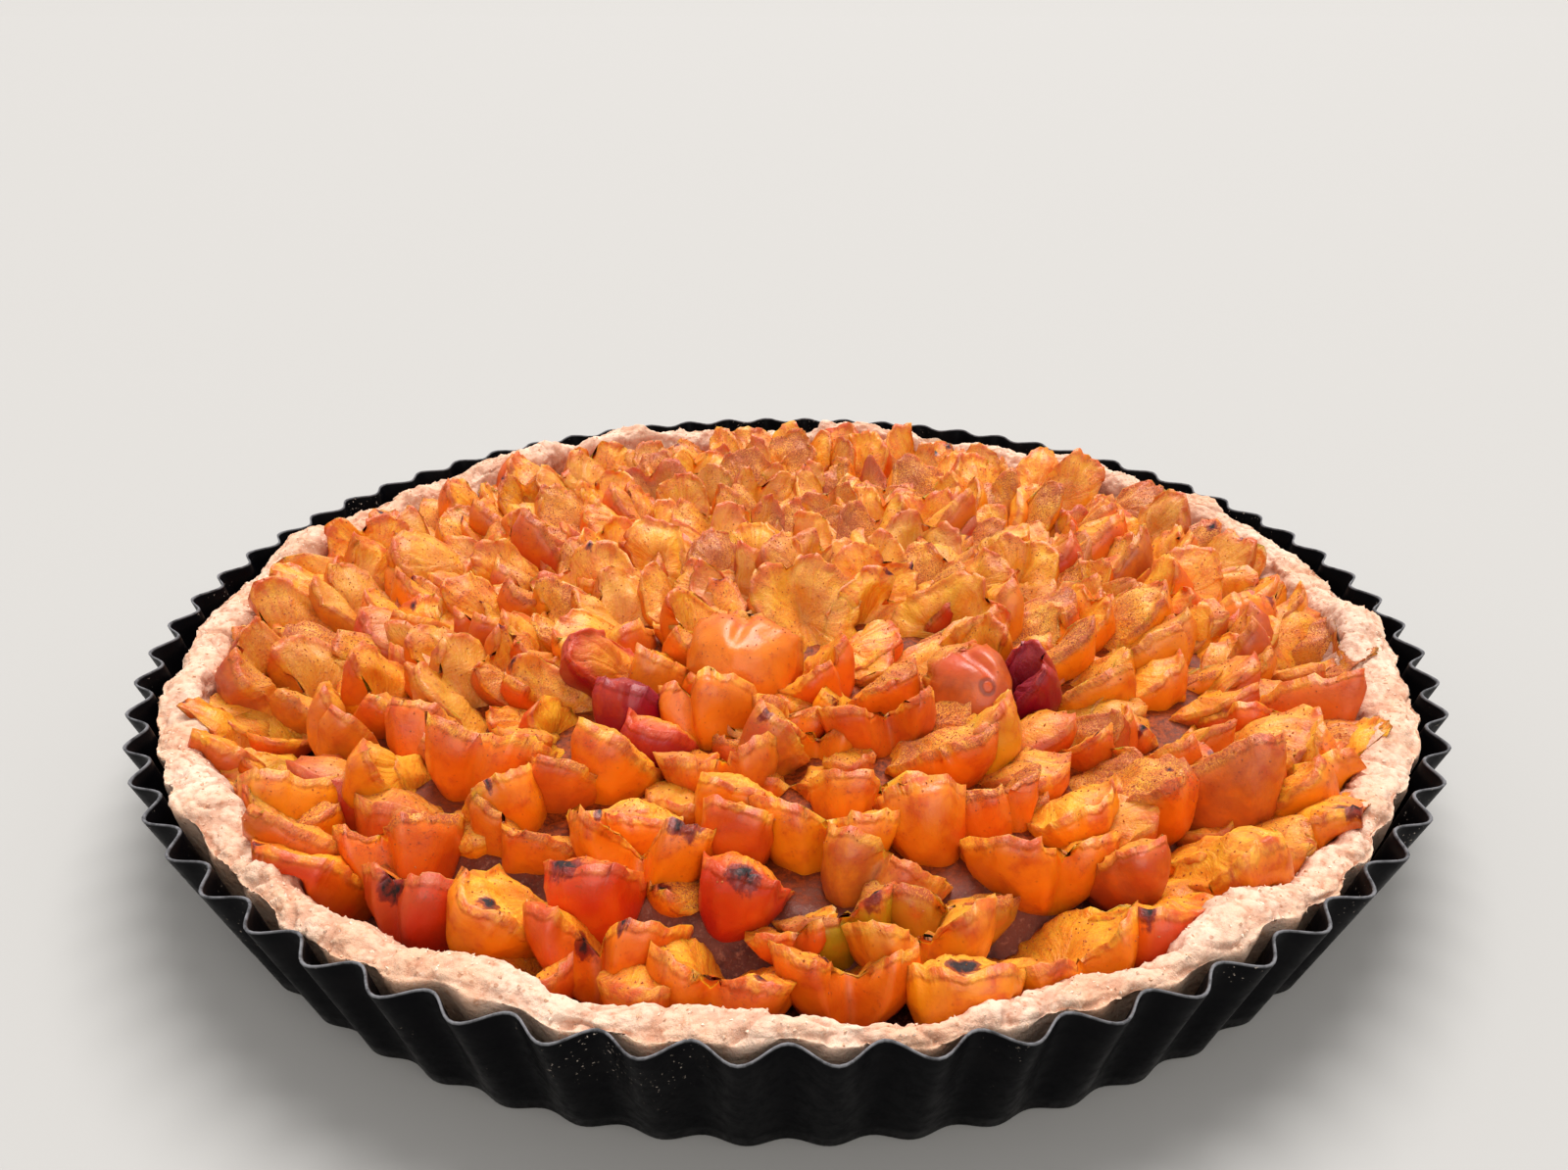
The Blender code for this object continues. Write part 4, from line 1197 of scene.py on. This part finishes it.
def dressed_plums(plums, columns, rings):
    """The plums of one piece: their joined points and faces, and the shares that the finish reads."""
    three, four = plum_faces(columns, rings)
    points, faces = [], []
    shares = {key: [] for key in
              ("skin", "reach", "along", "golden", "blush", "green", "brown", "char", "dust", "scar")}
    directions = {"own_place": [], "streak": []}
    start = 0
    for number, plum in plums:
        draw = random.Random(FIRST_PLUM_SEED + number)
        local, across, along, reach, turn, is_skin = plum_points(plum, columns, rings, draw)
        moved = roughened(local, reach, is_skin, draw)
        into_tart = np.array(frame_of(plum))
        points.append(held_in(moved @ into_tart[:3, :3].T + into_tart[:3, 3]))
        faces += (three + start).tolist() + (four + start).tolist()
        start += len(local)
        offset = np.array([draw.uniform(0, 1) for _ in range(3)])
        count = len(local)
        streak = np.stack([np.cos(turn), np.sin(turn), STREAK_LENGTH * reach], axis=1)
        directions["own_place"].append(local + offset)
        directions["streak"].append(streak + offset * STREAK_SPAN)
        shares["skin"].append(is_skin)
        shares["reach"].append(reach)
        shares["along"].append(along)
        look = LOOKS.get(plum.name) or chance_look(plum, draw)
        for key in ("golden", "blush", "green", "brown", "dust"):
            shares[key].append(np.full(count, getattr(look, key)))
        char = np.zeros(count)
        for spot_across, spot_along, spot_radius in look.spots:
            nearest = np.argmin(away_from(spot_across, spot_along, plum, across, along))
            away = np.linalg.norm(local - local[nearest], axis=1)
            char = np.maximum(char, np.clip(CHAR_CORE - away / (spot_radius * CHAR_SIZE * MM), 0, 1))
        shares["char"].append(char)
        scar = np.full(count, NO_SCAR)
        if plum.name in STEM_SCARS:
            scar = away_from(*STEM_SCARS[plum.name], plum, across, along) / MM
            scar = np.where(is_skin > 0.5, scar, NO_SCAR)
        shares["scar"].append(scar)
    joined = {key: np.concatenate(values) for key, values in shares.items()}
    led = {key: np.concatenate(values) for key, values in directions.items()}
    return np.concatenate(points), faces, joined, led


noise.seed_set(WRINKLE_SEED)
plum_finish = baked_plum()
laid = lay_plums()
rings = {}
for number, plum in enumerate(laid):
    radius = math.hypot(plum.place.x, plum.place.y)
    row = min(max(0, round((OUTER_ROW_RADIUS - radius) / ROW_PITCH)), LAST_RING)
    rings.setdefault(row, []).append((number, plum))
plum_rings = []
for row in sorted(rings):
    points, faces, shares, directions = dressed_plums(rings[row], PLUM_COLUMNS, PLUM_RINGS)
    ring = new_piece(f"plum_ring_{row + 1}", points, faces, plum_finish, shares, directions)
    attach(ring, "root")
    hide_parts("plums")
    plum_rings.append(ring)
slices = list(enumerate(lay_tucked(laid), start=len(laid)))
points, faces, shares, directions = dressed_plums(slices, TUCKED_COLUMNS, TUCKED_RINGS)
tucked_slices = new_piece("tucked_slices", points, faces, plum_finish, shares, directions)
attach(tucked_slices, "root")
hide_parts("plums")
plum_rings.append(tucked_slices)


# The cinnamon and sugar: grains shaken over the tart before it was baked. They lie on what faces up, more on
# the cut flesh than on the skins, and are scattered over the plums' own faces.
CINNAMON_GRAINS_PER_MM2 = 0.38
CINNAMON_GRAIN_RADIUS = 0.26 * MM
CINNAMON_SEED = 3
CINNAMON_LEAST_LIFT = 0.15
LESS_ON_SKIN = 0.65
GRAIN_SEGMENTS = 4
GRAIN_RINGS = 2
SMALLEST_GRAIN = (0.45, 0.45, 0.35)
LARGEST_GRAIN = (1.6, 1.3, 1.0)
ANY_TURN = (6.3, 6.3, 6.3)


def drawn(tree, least, most, seed):
    """A size or a turn for each grain, drawn between two others."""
    inputs = {0: least, 1: most, "Seed": seed}
    return add(tree, "FunctionNodeRandomValue", inputs, data_type="FLOAT_VECTOR").outputs["Value"]


def scattering_tree(name, finish):
    """Geometry Nodes that scatter small lumps over the faces of a mesh that look up.

    A share kept at the mesh's points under the name "bare" leaves them out.
    """
    tree, given = new_group(name, {
        "Surface": "Geometry", "Density": "Float", "Radius": "Float", "Least Lift": "Float",
        "Seed": "Int"}, "Grains")
    normal = tree.nodes.new("GeometryNodeInputNormal").outputs[0]
    lift = add(tree, "ShaderNodeSeparateXYZ", {0: normal}).outputs["Z"]
    bare = add(tree, "GeometryNodeInputNamedAttribute", {"Name": "bare"}, data_type="FLOAT")
    lying = add(tree, "ShaderNodeMapRange", {"Value": lift, "From Min": given["Least Lift"], "From Max": 1.0})
    covered = math_of(tree, "SUBTRACT", 1.0, bare.outputs["Attribute"])
    factor = times(tree, lying.outputs["Result"], covered)
    spread = add(tree, "GeometryNodeDistributePointsOnFaces", {
        "Mesh": given["Surface"], "Density": times(tree, factor, given["Density"]), "Seed": given["Seed"]})
    lump = add(tree, "GeometryNodeMeshUVSphere", {
        "Radius": given["Radius"], "Segments": GRAIN_SEGMENTS, "Rings": GRAIN_RINGS})
    size = drawn(tree, SMALLEST_GRAIN, LARGEST_GRAIN, 1)
    turn = drawn(tree, (0, 0, 0), ANY_TURN, 2)
    placed = add(tree, "GeometryNodeInstanceOnPoints", {
        "Points": spread.outputs["Points"], "Instance": lump.outputs["Mesh"],
        "Rotation": turn, "Scale": size})
    return end_group(tree, placed.outputs[0], finish, "Grains")


def joined_surface(name, pieces, bare):
    """One mesh of several pieces. bare takes a piece and its points, and says how bare each of them stays."""
    points, faces, shares = [], [], []
    start = 0
    for piece in pieces:
        mesh = piece.data
        places = np.empty(len(mesh.vertices) * 3, dtype=np.float32)
        mesh.vertices.foreach_get("co", places)
        points.append(places.reshape(-1, 3))
        shares.append(bare(piece, points[-1]))
        faces += [[start + corner for corner in face.vertices] for face in mesh.polygons]
        start += len(mesh.vertices)
    surface = bpy.data.meshes.new(name)
    surface.from_pydata(np.concatenate(points).tolist(), [], faces)
    keep(surface, "bare", np.concatenate(shares))
    return surface


def read_share(piece, key):
    values = np.empty(len(piece.data.vertices), dtype=np.float32)
    piece.data.attributes[key].data.foreach_get("value", values)
    return values


def plain_grain(name, first, second, roughness):
    finish, tree, shader, place = new_finish(name)
    colour = mixed(tree, eased(tree, clouds(tree, place, 700, 2), 0.35, 0.65), first, second)
    fill(tree, shader, {"Base Color": colour, "Roughness": roughness})
    return finish


def less_dusted(ring, places):
    """How bare of cinnamon the points of a ring stay."""
    return np.clip(1 - read_share(ring, "dust") * (1 - LESS_ON_SKIN * read_share(ring, "skin")), 0, 1)


cinnamon_finish = plain_grain("cinnamon_grain", seen(148, 70, 30), seen(190, 104, 48), 0.7)
plum_surface = joined_surface("plum_surface", plum_rings, less_dusted)
cinnamon = grown("cinnamon_grains", plum_surface, scattering_tree("shaken_over", cinnamon_finish), {
    "Density": CINNAMON_GRAINS_PER_MM2 / MM ** 2, "Radius": CINNAMON_GRAIN_RADIUS,
    "Least Lift": CINNAMON_LEAST_LIFT, "Seed": CINNAMON_SEED})
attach(cinnamon, "root")
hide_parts("plums")


# The crumbs: bits of dough and grains of sugar that came loose while the case was pressed and baked. They lie
# on the pastry's rim and slope.
CRUMBS_PER_MM2 = 0.16
CRUMB_RADIUS = 0.38 * MM
CRUMBS_SEED = 5
CRUMBS_LEAST_LIFT = 0.1


def under_the_plums(case, places):
    """How bare of crumbs the points of the case stay: wholly, where plums cover it."""
    return (np.hypot(places[:, 0], places[:, 1]) < OUTER_ROW_RADIUS + ROW_PITCH) * 1.0


crumb_finish = plain_grain("dough_crumb", seen(222, 172, 138), seen(250, 228, 206), 0.9)
rim_surface = joined_surface("rim_surface", [pastry], under_the_plums)
crumbs = grown("loose_crumbs", rim_surface, scattering_tree("fallen_on", crumb_finish), {
    "Density": CRUMBS_PER_MM2 / MM ** 2, "Radius": CRUMB_RADIUS,
    "Least Lift": CRUMBS_LEAST_LIFT, "Seed": CRUMBS_SEED})
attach(crumbs, "root")
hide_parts("pastry")


# The setting: a plain pale floor under soft studio light, seen from where the photograph was taken.
FOCAL_PIXELS = 1230
PHOTO_WIDTH_PIXELS = 1600
SENSOR_WIDTH_MM = 36
CAMERA_PLACE = (-0.6 * MM, -273.1 * MM, TIN_HEIGHT + 132.9 * MM)
CAMERA_DIP_DEGREES = 25.35
FLOOR_HALF = 100.0
FLOOR_FAR = 500.0
FLOOR_RISE = 12.0

floor_mesh = bpy.data.meshes.new("floor")
floor_mesh.from_pydata([
    (-FLOOR_HALF, -FLOOR_HALF, 0), (FLOOR_HALF, -FLOOR_HALF, 0), (FLOOR_HALF, FLOOR_HALF, 0),
    (-FLOOR_HALF, FLOOR_HALF, 0), (FLOOR_FAR, FLOOR_FAR, FLOOR_RISE), (-FLOOR_FAR, FLOOR_FAR, FLOOR_RISE)],
    [], [(0, 1, 2, 3), (3, 2, 4, 5)])
floor = put("floor", floor_mesh)
floor_finish, tree, shader, _ = new_finish("pale_floor")
fill(tree, shader, {"Base Color": seen(176, 175, 173), "Roughness": 0.9})
floor_mesh.materials.append(floor_finish)


def soft_light(name, height, bearing, softness, strength, colour):
    """A far, wide light. height and bearing say where it comes from; the viewer's side has bearing -90."""
    lamp = bpy.data.lights.new(name, "SUN")
    lamp.angle = math.radians(softness)
    lamp.energy = strength
    lamp.color = colour
    put(name, lamp).rotation_euler = (0, math.radians(90 - height), math.radians(bearing))


soft_light("sky_light", height=60, bearing=82, softness=38, strength=3.75, colour=(1.0, 0.98, 0.96))
soft_light("front_light", height=46, bearing=-80, softness=50, strength=1.0, colour=(1.0, 0.96, 0.9))
world = bpy.data.worlds.new("studio")
world.use_nodes = True
fill(world.node_tree, world.node_tree.nodes["Background"], {"Color": (1.0, 0.98, 0.97, 1.0), "Strength": 0.5})
bpy.context.scene.world = world
bpy.context.scene.view_settings.view_transform = "Standard"

camera = put("camera", bpy.data.cameras.new("camera"))
camera.data.sensor_width = SENSOR_WIDTH_MM
camera.data.lens = FOCAL_PIXELS / PHOTO_WIDTH_PIXELS * SENSOR_WIDTH_MM
camera.data.clip_start = 0.01
camera.location = CAMERA_PLACE
camera.rotation_euler = (math.radians(90 - CAMERA_DIP_DEGREES), 0, 0)
bpy.context.scene.camera = camera
